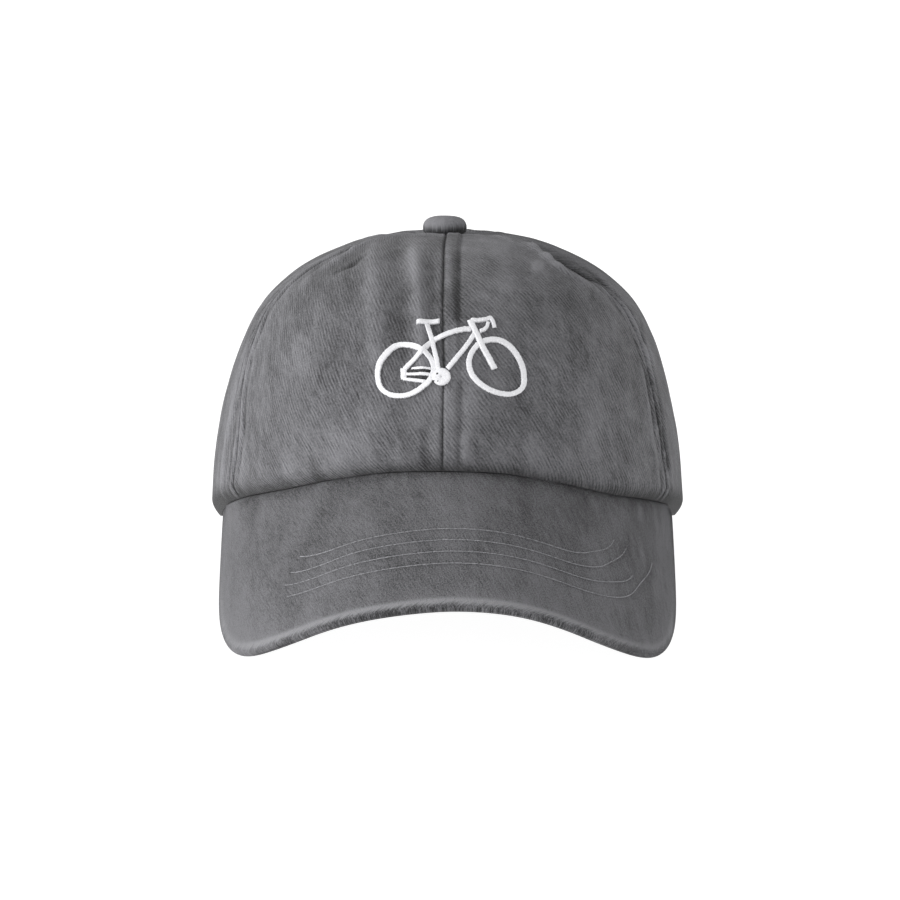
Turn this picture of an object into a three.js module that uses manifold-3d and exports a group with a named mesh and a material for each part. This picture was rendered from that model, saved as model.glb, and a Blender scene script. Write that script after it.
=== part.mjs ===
// A washed cotton cap: a soft crown of six panels, a long curved peak, a covered top button, a raised
// bicycle on the front, and a strap with its metal slide across the back opening.
// Millimetres, +Z up, the front towards -Y. The pieces are shaped on the cap's own rim plane, and the
// whole cap then leans back until it rests on the two peak corners and the back of its rim.
import * as THREE from 'three';
import { mergeVertices } from 'three/addons/utils/BufferGeometryUtils.js';
import Module from 'manifold-3d';

const wasm = await Module();
wasm.setup();

// Driving dimensions
const GAP = 0.3;
const CLOTH = 1.4;
const LEAN = THREE.MathUtils.degToRad(9.35);
const BACK_REACH = 101;
const HEM = { thickness: 2.4, height: 6, tuck: 3.6, backTuck: 0.8, press: 0.9 };
const SEAM = { depth: 0.7, width: 1.8 };
const GORE_BULGE = 0.7;
const BUTTON = { x: -1, radius: 7.9, rise: 6.2, shank: 3.2, rivet: 6.4 };
const ARCH = { halfWidth: 38, rise: 46 };
const STRAP = { thickness: 1.6, bottom: 3, top: 22, inset: 3.9, endAzimuth: 148 };
const CLASP = { azimuth: 170, length: 11, bar: 1.9, clearance: 0.8 };

// Horizontal sections of the crown, from below the rim to the top
const SECTIONS = [
  { height: -8, side: 86.6, front: 99, back: 100.5 },
  { height: 6, side: 86.3, front: 101, back: 102 },
  { height: 22, side: 85.3, front: 102.5, back: 102.5 },
  { height: 38, side: 83, front: 102, back: 101.5 },
  { height: 53, side: 79.6, front: 98.5, back: 98.5 },
  { height: 67, side: 74.9, front: 91.5, back: 93 },
  { height: 80, side: 67.8, front: 81, back: 84 },
  { height: 91, side: 55.6, front: 66.5, back: 70 },
  { height: 98.9, side: 40, front: 48.5, back: 51 },
  { height: 103, side: 26, front: 30, back: 30 },
  { height: 104, side: 13, front: 14.5, back: 14 },
  { height: 103.8, side: 5, front: 5, back: 5 },
];
const TOP_ROW = SECTIONS.length - 1;

// Height of the rim, every fifteen degrees from the front round to the back
const RIM_STEP = 15;
const RIM = [27.5, 26, 22, 16.6, 11.6, 6.8, 1.5, -1.5, -3, -4.5, -4.5, -4.5, -4.5];

// The six seams: azimuth from the front, at the rim and at the top
const SEAMS = {
  frontCentre: { rim: -1, top: 0 },
  frontRight: { rim: 67.5, top: 68 },
  backRight: { rim: 123, top: 124 },
  backCentre: { rim: 180, top: 180 },
  backLeft: { rim: -123, top: -124 },
  frontLeft: { rim: -66.5, top: -73 },
};

// The crown's panels, each between two seams
const PANELS = [
  { name: 'crown_panel_front_left', from: 'frontLeft', to: 'frontCentre' },
  { name: 'crown_panel_front_right', from: 'frontCentre', to: 'frontRight' },
  { name: 'crown_panel_side_right', from: 'frontRight', to: 'backRight' },
  { name: 'crown_panel_back_right', from: 'backRight', to: 'backCentre', arch: true },
  { name: 'crown_panel_back_left', from: 'backCentre', to: 'backLeft', turn: 360, arch: true },
  { name: 'crown_panel_side_left', from: 'backLeft', to: 'frontLeft' },
];

// Folds and dents of the crown, each along a line as seen from one side: across (x, or y from the sides)
// and height at both ends, with the width of the fold and how far it stands out (or in, below zero)
const FOLDS = [
  { facing: 'front', across: -10, height: 104, toAcross: -9, toHeight: 62, width: 4, depth: 0.9 },
  { facing: 'front', across: -17, height: 104, toAcross: -16, toHeight: 64, width: 3.5, depth: -1 },
  { facing: 'front', across: -25, height: 102, toAcross: -23, toHeight: 66, width: 4.5, depth: 0.9 },
  { facing: 'front', across: -27, height: 101, toAcross: -44, toHeight: 90, width: 4, depth: -0.8 },
  { facing: 'front', across: 6, height: 102, toAcross: 4, toHeight: 22, width: 3, depth: -0.7 },
  { facing: 'front', across: 18, height: 103, toAcross: 44, toHeight: 90, width: 5, depth: 0.9 },
  { facing: 'front', across: 30, height: 97, toAcross: 54, toHeight: 80, width: 5, depth: -0.9 },
  { facing: 'front', across: -62, height: 60, toAcross: -66, toHeight: 14, width: 6, depth: 0.7 },
  { facing: 'front', across: 62, height: 62, toAcross: 66, toHeight: 16, width: 6, depth: 0.6 },
  { facing: 'left', across: 4, height: 96, toAcross: 10, toHeight: 42, width: 9, depth: -1.2 },
  { facing: 'left', across: 40, height: 74, toAcross: 52, toHeight: 26, width: 9, depth: 1 },
  { facing: 'right', across: 2, height: 95, toAcross: -6, toHeight: 46, width: 9, depth: -1 },
  { facing: 'right', across: 38, height: 76, toAcross: 54, toHeight: 30, width: 9, depth: 1.1 },
  { facing: 'back', across: -30, height: 92, toAcross: -42, toHeight: 52, width: 9, depth: -1.1 },
  { facing: 'back', across: 26, height: 93, toAcross: 40, toHeight: 56, width: 9, depth: -1 },
];

// The peak: a board of half thickness each side of a middle surface that falls away from the front rim
const PEAK = {
  azimuth: 75,
  halfWidth: 80,
  start: -32,
  reach: 165,
  squareness: { left: 3.02, right: 3.08 },
  seamHeight: 30.2,
  slope: 0.66,
  sag: 0.0053,
  sagGrowth: 9.7e-7,
  belly: 1.2,
  half: 1.8,
  hornHalf: 0.7,
  tuckIn: 4,
};

// The bicycle, in the plane of the cloth: the axle line is its base, x to the right. A wheel is a ring
// stretched along one direction, as sewn thread pulls it
const MOTIF = { x: 1, height: 62.3, upright: 0.9 };
const WHEELS = [
  { x: -16, y: -1.1, radius: 9.3, stretch: 0.04, towards: 25, stroke: 1.9, relief: 1 },
  { x: 16, y: 0.1, radius: 9.6, stretch: 0.1, towards: -48, stroke: 1.9, relief: 1 },
  { x: -3.5, y: -3.3, radius: 1.9, stretch: 0, towards: 0, stroke: 2.8, relief: 1.15 },
];
const TUBES = [
  { path: [[-12, 17.1], [-3.7, 17.6]], stroke: 1.7, relief: 1.45 },
  { path: [[-8.1, 17], [-6.7, 11], [-5.6, 6.9], [-4.6, -1.5]], stroke: 1.8, relief: 1.3 },
  { path: [[-16.4, -0.9], [-13.2, 2.9], [-10.1, 6.5], [-7.1, 9.3], [-3.7, 11.3]], stroke: 1.7, relief: 1.15 },
  { path: [[-4.2, 11.1], [-1, 12.5], [1.6, 13.2], [8, 14.2]], stroke: 1.65, relief: 1.05 },
  { path: [[8.2, 13.3], [-2, -1.4]], stroke: 1.7, relief: 0.85 },
  { path: [[6.5, 17.7], [9, 13.8], [11.8, 7.7], [15.8, -0.9]], stroke: 1.9, relief: 1.45 },
  { path: [[6, 17.5], [11.8, 17.7], [13.8, 18.3], [14.7, 17.4], [15.2, 14.8]], stroke: 1.5, relief: 1.6 },
  { path: [[12.6, 17.9], [12.7, 15.8], [11.6, 14.4], [10, 13.5]], stroke: 1.35, relief: 1.3 },
  { path: [[-14, -0.1], [-5, -0.1]], stroke: 0.8, relief: 0.85 },
  { path: [[-16.2, -2.3], [-5, -2.5]], stroke: 1, relief: 0.85 },
  { path: [[-16.6, -4.1], [-5, -6]], stroke: 1.1, relief: 0.85 },
  { path: [[-16.4, -0.3], [-16.8, -4.6]], stroke: 1.9, relief: 1.7 },
];

const COLOURS = {
  cloth: { color: 0x6b6b6f, roughness: 0.95, metalness: 0 },
  thread: { color: 0xeaeaee, roughness: 0.8, metalness: 0 },
  metal: { color: 0xa8a49c, roughness: 0.35, metalness: 1 },
};

// A smooth curve through evenly spaced values
function smooth(values, place) {
  const last = values.length - 1;
  const at = THREE.MathUtils.clamp(place, 0, last);
  const i = Math.min(Math.floor(at), last - 1);
  const t = at - i;
  const [a, b, c, d] = [-1, 0, 1, 2].map((k) => values[THREE.MathUtils.clamp(i + k, 0, last)]);
  const bend = (2 * a - 5 * b + 4 * c - d) * t + (3 * b - a - 3 * c + d) * t * t;
  return b + 0.5 * t * (c - a + bend);
}

const columnOf = (name) => SECTIONS.map((row) => row[name]);
const HEIGHTS = columnOf('height');
const SIDES = columnOf('side');
const FRONTS = columnOf('front');
const BACKS = columnOf('back');

// Height of the ground that the leaning cap rests on, at a depth y in the cap's own frame
const groundHeight = (y) => (y - BACK_REACH) * Math.tan(LEAN);

// The row of the sections table at which the crown reaches a height
function rowAtHeight(height) {
  let low = 0;
  let high = TOP_ROW - 1;
  for (let step = 0; step < 30; step += 1) {
    const middle = (low + high) / 2;
    if (smooth(HEIGHTS, middle) < height) low = middle;
    else high = middle;
  }
  return (low + high) / 2;
}

function plainCrown(azimuth, row) {
  const angle = THREE.MathUtils.degToRad(azimuth);
  const reach = smooth(Math.cos(angle) > 0 ? FRONTS : BACKS, row);
  const side = smooth(SIDES, row);
  return new THREE.Vector3(side * Math.sin(angle), -reach * Math.cos(angle), smooth(HEIGHTS, row));
}

function crownNormal(azimuth, row) {
  const below = Math.max(row - 0.05, 0);
  const above = Math.min(row + 0.05, TOP_ROW);
  const across = plainCrown(azimuth + 0.5, row).sub(plainCrown(azimuth - 0.5, row));
  const up = plainCrown(azimuth, above).sub(plainCrown(azimuth, below));
  return across.cross(up).normalize();
}

const FACINGS = {
  front: (p, n) => ({ across: p.x, facing: -n.y }),
  back: (p, n) => ({ across: p.x, facing: n.y }),
  left: (p, n) => ({ across: p.y, facing: -n.x }),
  right: (p, n) => ({ across: p.y, facing: n.x }),
};

// How far the folds push the cloth out at a point
function foldDepth(point, normal) {
  let depth = 0;
  for (const fold of FOLDS) {
    const { across, facing } = FACINGS[fold.facing](point, normal);
    const run = new THREE.Vector2(fold.toAcross - fold.across, fold.toHeight - fold.height);
    const here = new THREE.Vector2(across - fold.across, point.z - fold.height);
    const along = THREE.MathUtils.clamp(here.dot(run) / run.lengthSq(), 0, 1);
    const off = here.sub(run.multiplyScalar(along)).length() / fold.width;
    depth += fold.depth * Math.exp(-off * off) * THREE.MathUtils.smoothstep(facing, -0.05, 0.35);
  }
  return depth;
}

const rimHeight = (azimuth) => smooth(RIM, Math.abs(azimuth > 180 ? azimuth - 360 : azimuth) / RIM_STEP);

function rimTuck(azimuth) {
  const behind = THREE.MathUtils.smoothstep(-Math.cos(THREE.MathUtils.degToRad(azimuth)), 0.1, 0.75);
  return THREE.MathUtils.lerp(HEM.tuck, HEM.backTuck, behind);
}

// A point of the crown's outer face, and its normal: share runs from the rim (0) to the top (1)
function crownPoint(azimuth, share) {
  const lowest = Math.max(rimHeight(azimuth), groundHeight(plainCrown(azimuth, 1).y) - HEM.press);
  const start = rowAtHeight(lowest);
  const row = THREE.MathUtils.lerp(start, TOP_ROW, share);
  const point = plainCrown(azimuth, row);
  const normal = crownNormal(azimuth, row);
  const rise = point.z - lowest;
  const curl = THREE.MathUtils.clamp(1 - rise / HEM.height, 0, 1);
  const outwards = foldDepth(point, normal) * Math.min(1, rise / HEM.height) - rimTuck(azimuth) * curl * curl;
  point.addScaledVector(normal, outwards);
  return { point, normal, curl };
}

// A closed wall between two skins on one grid: columns run left to right and rows run up, seen from outside
function wall(columns, rows, outer, inner) {
  const positions = [];
  const index = [];
  const width = columns.length;
  const height = rows.length;
  for (const skin of [outer, inner]) {
    for (const v of rows) {
      for (const u of columns) positions.push(...skin(u, v).toArray());
    }
  }
  const at = (skin, i, j) => skin * width * height + j * width + i;
  const quad = (a, b, c, d) => index.push(a, b, c, a, c, d);
  for (let j = 0; j < height - 1; j += 1) {
    for (let i = 0; i < width - 1; i += 1) {
      quad(at(0, i, j), at(0, i + 1, j), at(0, i + 1, j + 1), at(0, i, j + 1));
      quad(at(1, i + 1, j), at(1, i, j), at(1, i, j + 1), at(1, i + 1, j + 1));
    }
  }
  for (let i = 0; i < width - 1; i += 1) {
    quad(at(1, i, 0), at(1, i + 1, 0), at(0, i + 1, 0), at(0, i, 0));
    quad(at(0, i, height - 1), at(0, i + 1, height - 1), at(1, i + 1, height - 1), at(1, i, height - 1));
  }
  for (let j = 0; j < height - 1; j += 1) {
    quad(at(1, 0, j), at(0, 0, j), at(0, 0, j + 1), at(1, 0, j + 1));
    quad(at(0, width - 1, j), at(1, width - 1, j), at(1, width - 1, j + 1), at(0, width - 1, j + 1));
  }
  return solidGeometry(positions, index);
}

// A geometry with its shared corners merged and its empty triangles left out
function solidGeometry(positions, index) {
  const loose = new THREE.BufferGeometry();
  loose.setAttribute('position', new THREE.Float32BufferAttribute(positions, 3));
  loose.setIndex(index);
  const merged = mergeVertices(loose, 1e-4);
  const corners = merged.getIndex().array;
  const kept = [];
  for (let i = 0; i < corners.length; i += 3) {
    const [a, b, c] = [corners[i], corners[i + 1], corners[i + 2]];
    if (a !== b && b !== c && c !== a) kept.push(a, b, c);
  }
  merged.setIndex(kept);
  return merged;
}

function toSolid(geometry) {
  const bare = geometry.clone();
  bare.deleteAttribute('normal');
  bare.deleteAttribute('uv');
  const merged = mergeVertices(bare, 1e-4);
  return new wasm.Manifold(new wasm.Mesh({
    numProp: 3,
    vertProperties: new Float32Array(merged.getAttribute('position').array),
    triVerts: new Uint32Array(merged.getIndex().array),
  }));
}

function fromSolid(solid) {
  const mesh = solid.getMesh();
  return solidGeometry(Array.from(mesh.vertProperties), Array.from(mesh.triVerts));
}

const steps = (count) => Array.from({ length: count + 1 }, (_, i) => i / count);

// Crown panels
const PANEL_COLUMNS = [0, 0.025, ...steps(12).slice(1, -1), 0.975, 1];
const PANEL_ROWS = [0, 0.01, 0.03, 0.06, ...steps(14).slice(1)];

function panelGeometry(panel) {
  const seamAt = (seam, share) => THREE.MathUtils.lerp(seam.rim, seam.top, share);
  const skinPoint = (inside) => (u, v) => {
    const left = seamAt(SEAMS[panel.from], v);
    const right = seamAt(SEAMS[panel.to], v) + (panel.turn ?? 0);
    const radius = Math.hypot(plainCrown(left, TOP_ROW * v).x, plainCrown(left, TOP_ROW * v).y);
    const spare = THREE.MathUtils.radToDeg(GAP / 2 / radius);
    const azimuth = THREE.MathUtils.lerp(left + spare, right - spare, u);
    const { point, normal, curl } = crownPoint(azimuth, v);
    const toSeam = Math.min(u, 1 - u) * THREE.MathUtils.degToRad(right - left) * radius;
    const groove = SEAM.depth * Math.exp(-((toSeam / SEAM.width) ** 2)) * (1 - curl);
    const bulge = GORE_BULGE * Math.sin(Math.PI * u) * Math.sin(Math.PI * v);
    const thickness = inside ? THREE.MathUtils.lerp(CLOTH, HEM.thickness, curl) : 0;
    point.addScaledVector(normal, bulge - groove - thickness);
    point.z = Math.max(point.z, groundHeight(point.y));
    return point;
  };
  return wall(PANEL_COLUMNS, PANEL_ROWS, skinPoint(false), skinPoint(true));
}

// The arched opening at the back, cut through the two back panels
function archCutter() {
  const outline = new THREE.Shape();
  outline.moveTo(-ARCH.halfWidth, -20);
  outline.lineTo(ARCH.halfWidth, -20);
  outline.lineTo(ARCH.halfWidth, 4);
  outline.absellipse(0, 4, ARCH.halfWidth, ARCH.rise - 4, 0, Math.PI, false, 0);
  const geometry = new THREE.ExtrudeGeometry(outline, { depth: 60, bevelEnabled: false, curveSegments: 14 });
  geometry.rotateX(Math.PI / 2);
  geometry.translate(0, BACK_REACH + 20, 0);
  return toSolid(geometry);
}

// The peak
function peakOutline(share) {
  const angle = Math.min(Math.abs(share), 1) * Math.PI / 2;
  const power = 2 / (share < 0 ? PEAK.squareness.left : PEAK.squareness.right);
  const x = PEAK.halfWidth * Math.sin(angle) ** power;
  const y = PEAK.start - (PEAK.reach + PEAK.start) * Math.cos(angle) ** power;
  const sag = PEAK.sag * x ** 2 + PEAK.sagGrowth * x ** 4;
  const height = PEAK.seamHeight + PEAK.slope * (y + SECTIONS[1].front) - sag;
  return new THREE.Vector3(x * Math.sign(share), y, height);
}

// Half the board's thickness, which thins towards the two horns where the peak ends under the hem
function peakHalf(share) {
  const towardsHorn = THREE.MathUtils.smoothstep(Math.abs(share), 0.8, 1);
  return THREE.MathUtils.lerp(PEAK.half, PEAK.hornHalf, towardsHorn);
}

// The middle surface of the peak: depth runs from its hidden edge (-1) past the seam (0) to the edge (1)
function peakMiddle(share, depth) {
  const azimuth = share * PEAK.azimuth;
  const { point: seam, normal } = crownPoint(azimuth, 0);
  seam.z -= GAP + peakHalf(share);
  if (depth < 0) {
    const inwards = new THREE.Vector3(-normal.x, -normal.y, 0).normalize();
    return seam.addScaledVector(inwards, -depth * PEAK.tuckIn);
  }
  const point = seam.lerp(peakOutline(share), depth);
  point.z += PEAK.belly * 4 * depth * (1 - depth);
  return point;
}

const PEAK_COLUMNS = steps(30).map((u) => 2 * u - 1);
const PEAK_ROWS = [-1, 0, 0.12, 0.3, 0.5, 0.7, 0.86, 0.96, 0.985, 1];

function peakGeometry() {
  const skinPoint = (side) => (share, depth) => {
    const point = peakMiddle(share, depth);
    const reach = peakMiddle(share, 1).distanceTo(peakMiddle(share, 0));
    const toEdge = Math.max(1 - depth, 0) * reach / PEAK.half;
    const half = peakHalf(share) * Math.sqrt(1 - Math.max(1 - toEdge, 0) ** 2);
    const along = peakMiddle(share + 0.005, depth).sub(peakMiddle(share - 0.005, depth));
    const out = peakMiddle(share, Math.max(depth, 0.05)).sub(peakMiddle(share, Math.max(depth, 0.05) - 0.04));
    const normal = depth > 0 ? out.cross(along).normalize() : new THREE.Vector3(0, 0, 1);
    point.addScaledVector(normal, side * half);
    point.z = Math.max(point.z, groundHeight(point.y));
    return point;
  };
  return wall(PEAK_COLUMNS, PEAK_ROWS, skinPoint(-1), skinPoint(1));
}

// The top button: a dome with a rounded rim, its shank through the crown, and the rivet head inside
function buttonGeometry() {
  const { radius, rise, shank, rivet } = BUTTON;
  const top = SECTIONS[TOP_ROW].height;
  const seat = top + GAP + 0.3;
  const profile = new THREE.Path();
  profile.moveTo(0, top - CLOTH - 2.8);
  profile.lineTo(rivet, top - CLOTH - 2.8);
  profile.lineTo(rivet, top - CLOTH - 1.6);
  profile.lineTo(shank, top - CLOTH - 1.6);
  profile.lineTo(shank, seat);
  profile.lineTo(radius - 0.8, seat - 0.1);
  profile.quadraticCurveTo(radius + 0.2, seat + 0.2, radius, seat + 2);
  profile.quadraticCurveTo(radius - 0.4, seat + rise - 0.5, 0, seat + rise);
  const points = profile.getPoints(5);
  const geometry = new THREE.LatheGeometry(points, 24);
  geometry.rotateX(Math.PI / 2);
  geometry.translate(BUTTON.x, 0, 0);
  return fromSolid(toSolid(geometry));
}

// A point of the front of the crown, placed in the plane of the cloth, and raised from it
function onFront(x, y, raised) {
  const row = rowAtHeight(MOTIF.height + y * MOTIF.upright);
  const azimuth = THREE.MathUtils.radToDeg(Math.asin((MOTIF.x + x) / smooth(SIDES, row)));
  const normal = crownNormal(azimuth, row);
  const point = plainCrown(azimuth, row);
  return point.addScaledVector(normal, foldDepth(point, normal) + GORE_BULGE + GAP + raised);
}

// A raised band of the embroidery along a path of [x, y] points, or along a closed loop of them
function band(path, stroke, relief, closed) {
  const count = path.length;
  const rows = path.map(([x, y], i) => {
    const before = path[closed ? (i + count - 1) % count : Math.max(i - 1, 0)];
    const after = path[closed ? (i + 1) % count : Math.min(i + 1, count - 1)];
    const along = new THREE.Vector2(after[0] - before[0], after[1] - before[1]).normalize();
    const side = new THREE.Vector2(-along.y, along.x).multiplyScalar(stroke / 2);
    return [
      onFront(x - side.x, y - side.y, 0),
      onFront(x + side.x, y + side.y, 0),
      onFront(x + side.x, y + side.y, relief),
      onFront(x - side.x, y - side.y, relief),
    ];
  });
  const positions = rows.flat().flatMap((point) => point.toArray());
  const index = [];
  const spans = closed ? count : count - 1;
  for (let i = 0; i < spans; i += 1) {
    const next = (i + 1) % count;
    for (let k = 0; k < 4; k += 1) {
      const [a, b] = [4 * i + k, 4 * i + (k + 1) % 4];
      const [c, d] = [4 * next + (k + 1) % 4, 4 * next + k];
      index.push(a, b, c, a, c, d);
    }
  }
  if (!closed) {
    const end = 4 * (count - 1);
    index.push(0, 2, 1, 0, 3, 2, end, end + 1, end + 2, end, end + 2, end + 3);
  }
  return toSolid(solidGeometry(positions, index));
}

// A path with its long stretches divided, so that it follows the curve of the cloth
function divided(path, longest) {
  const points = [path[0]];
  for (let i = 1; i < path.length; i += 1) {
    const [from, to] = [path[i - 1], path[i]];
    const count = Math.ceil(Math.hypot(to[0] - from[0], to[1] - from[1]) / longest);
    for (let k = 1; k <= count; k += 1) {
      points.push([0, 1].map((axis) => from[axis] + (to[axis] - from[axis]) * k / count));
    }
  }
  return points;
}

function bicycleGeometry() {
  const bands = WHEELS.map(({ x, y, radius, stretch, towards, stroke, relief }) => {
    const count = radius > 5 ? 26 : 14;
    const loop = steps(count).slice(1).map((turn) => {
      const angle = 2 * Math.PI * turn;
      const reach = radius * (1 + stretch * Math.cos(2 * (angle - THREE.MathUtils.degToRad(towards))));
      return [x + reach * Math.cos(angle), y + reach * Math.sin(angle)];
    });
    return band(loop, stroke, relief, true);
  });
  for (const { path, stroke, relief } of TUBES) bands.push(band(divided(path, 5), stroke, relief, false));
  return fromSolid(bands.reduce((whole, piece) => whole.add(piece)));
}

// The back strap follows the inside of the rim across the opening, a little clear of the ground
function strapPoint(azimuth, height, inset) {
  const row = rowAtHeight(height + groundHeight(plainCrown(azimuth, 1).y));
  const point = plainCrown(azimuth, row);
  return point.addScaledVector(crownNormal(azimuth, row), -inset);
}

function strapGeometry() {
  const azimuths = steps(16).map((u) => THREE.MathUtils.lerp(STRAP.endAzimuth, 360 - STRAP.endAzimuth, u));
  const heights = [STRAP.bottom, (STRAP.bottom + STRAP.top) / 2, STRAP.top];
  const skinPoint = (inset) => (azimuth, height) => strapPoint(azimuth, height, inset);
  return wall(azimuths, heights, skinPoint(STRAP.inset), skinPoint(STRAP.inset + STRAP.thickness));
}

// The slide is a flat metal frame round the strap
function claspGeometry() {
  const { azimuth, length, bar, clearance } = CLASP;
  const middle = (STRAP.bottom + STRAP.top) / 2;
  const width = STRAP.top - STRAP.bottom;
  const hole = { depth: STRAP.thickness + 2 * clearance, height: width + 2 * clearance };
  const outer = new THREE.BoxGeometry(length, hole.depth + 2, hole.height + 2 * bar);
  const inner = new THREE.BoxGeometry(length + 2, hole.depth, hole.height);
  const frame = fromSolid(toSolid(outer).subtract(toSolid(inner)));
  const place = strapPoint(azimuth, middle, STRAP.inset + STRAP.thickness / 2);
  const normal = crownNormal(azimuth, rowAtHeight(place.z));
  frame.rotateX(Math.asin(normal.z));
  frame.rotateZ(Math.atan2(normal.y, normal.x) - Math.PI / 2);
  frame.translate(place.x, place.y, place.z);
  return frame;
}

// The assembled cap
const cap = new THREE.Group();

function addPiece(name, geometry, look) {
  geometry.computeVertexNormals();
  const mesh = new THREE.Mesh(geometry, new THREE.MeshStandardMaterial(look));
  mesh.name = name;
  cap.add(mesh);
}

const arch = archCutter();
for (const panel of PANELS) {
  const whole = panelGeometry(panel);
  addPiece(panel.name, panel.arch ? fromSolid(toSolid(whole).subtract(arch)) : whole, COLOURS.cloth);
}
addPiece('peak', peakGeometry(), COLOURS.cloth);
addPiece('top_button', buttonGeometry(), COLOURS.cloth);
addPiece('bicycle_embroidery', bicycleGeometry(), COLOURS.thread);
addPiece('back_strap', strapGeometry(), COLOURS.cloth);
addPiece('strap_clasp', claspGeometry(), COLOURS.metal);

// Lean the cap back and stand it with the bottom centre of its box at the origin
const leaning = new THREE.Group();
leaning.add(cap);
cap.rotation.x = -LEAN;
leaning.updateMatrixWorld(true);
const box = new THREE.Box3().setFromObject(leaning, true);
const centre = box.getCenter(new THREE.Vector3());
leaning.position.set(-centre.x, -centre.y, -box.min.z);
leaning.updateMatrixWorld(true);

export default leaning;
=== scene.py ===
"""A washed cotton cap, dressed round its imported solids.

The crown's six panels, the peak, the button, the embroidered bicycle and the back strap are sewn
surfaces, worked out here in millimetres in the cap's own frame (its rim plane level, its front towards
-Y) and then leant back and placed in metres where the solids stand.
"""
import math

import bmesh
import bpy
import numpy as np
from mathutils import Matrix, Vector


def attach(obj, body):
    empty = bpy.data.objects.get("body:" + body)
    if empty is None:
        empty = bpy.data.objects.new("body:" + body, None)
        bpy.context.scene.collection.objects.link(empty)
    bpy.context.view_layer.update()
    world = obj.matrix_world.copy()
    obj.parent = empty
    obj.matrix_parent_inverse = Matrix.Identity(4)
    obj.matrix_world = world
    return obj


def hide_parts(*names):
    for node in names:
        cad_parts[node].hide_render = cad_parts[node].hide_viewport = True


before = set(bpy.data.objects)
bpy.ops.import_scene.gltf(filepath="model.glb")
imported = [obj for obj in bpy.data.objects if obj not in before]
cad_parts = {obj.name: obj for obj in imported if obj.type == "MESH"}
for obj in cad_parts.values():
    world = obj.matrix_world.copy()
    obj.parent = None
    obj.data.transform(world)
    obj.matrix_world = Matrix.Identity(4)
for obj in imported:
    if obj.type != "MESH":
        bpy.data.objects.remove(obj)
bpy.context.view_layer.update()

# Driving dimensions, in millimetres, and the angle by which the cap leans back
LEAN = math.radians(9.35)
BACK_REACH = 101.0
STAND = (-0.001, 29.262, BACK_REACH * math.sin(LEAN))
CLOTH = 1.3
TURNED_EDGE = 1.6
HEM = {"thickness": 2.4, "height": 6.0, "tuck": 3.6, "back_tuck": 0.8, "press": 0.9}
GORE_BULGE = 0.7
SEAM_GAP = 0.3
MEAN_RADIUS = 95.0

# Horizontal sections of the crown, from below the rim to the top
SECTIONS = {
    "height": (-8, 6, 22, 38, 53, 67, 80, 91, 98.9, 103, 104, 103.8),
    "side": (86.6, 86.3, 85.3, 83, 79.6, 74.9, 67.8, 55.6, 40, 26, 13, 5),
    "front": (99, 101, 102.5, 102, 98.5, 91.5, 81, 66.5, 48.5, 30, 14.5, 5),
    "back": (100.5, 102, 102.5, 101.5, 98.5, 93, 84, 70, 51, 30, 14, 5),
}
TOP_ROW = len(SECTIONS["height"]) - 1

# Height of the rim on either side, every fifteen degrees from the front round to the back
RIM_STEP = 15.0
RIM = {
    "left": (27.6, 26.8, 23.2, 18.0, 13.3, 7.6, 0.6, -2.0, -3, -4.5, -4.5, -4.5, -4.5),
    "right": (27.6, 26.3, 21.8, 16.2, 12.1, 7.4, 0.8, -2.0, -3, -4.5, -4.5, -4.5, -4.5),
}

# The six seams: azimuth from the front, at even steps from the rim up to the top
SEAMS = {
    "front_centre": (-1.22, -1.1, -0.97, -1.3, -1.45, -2.0, -2.1, -3.4),
    "front_right": (66.5, 65.5, 66.8, 67.5, 66, 65, 72, 74),
    "back_right": (123, 124),
    "back_centre": (180, 180),
    "back_left": (-123, -124),
    "front_left": (-64, -63.5, -67.5, -70, -74, -75, -79, -80),
}

# The crown's panels, each between two seams, with the slant of its twill from the level, in degrees, and
# how much that turns towards the rim
PANELS = (
    {"name": "crown_panel_front_left", "from": "front_left", "to": "front_centre", "slant": 73, "turn": 0.48},
    {"name": "crown_panel_front_right", "from": "front_centre", "to": "front_right", "slant": 55,
     "turn": 0.1},
    {"name": "crown_panel_side_right", "from": "front_right", "to": "back_right", "slant": 66, "turn": 0},
    {"name": "crown_panel_back_right", "from": "back_right", "to": "back_centre", "slant": 64, "turn": 0},
    {"name": "crown_panel_back_left", "from": "back_centre", "to": "back_left", "slant": 70, "turn": 0},
    {"name": "crown_panel_side_left", "from": "back_left", "to": "front_left", "slant": 78, "turn": 0},
)

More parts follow.
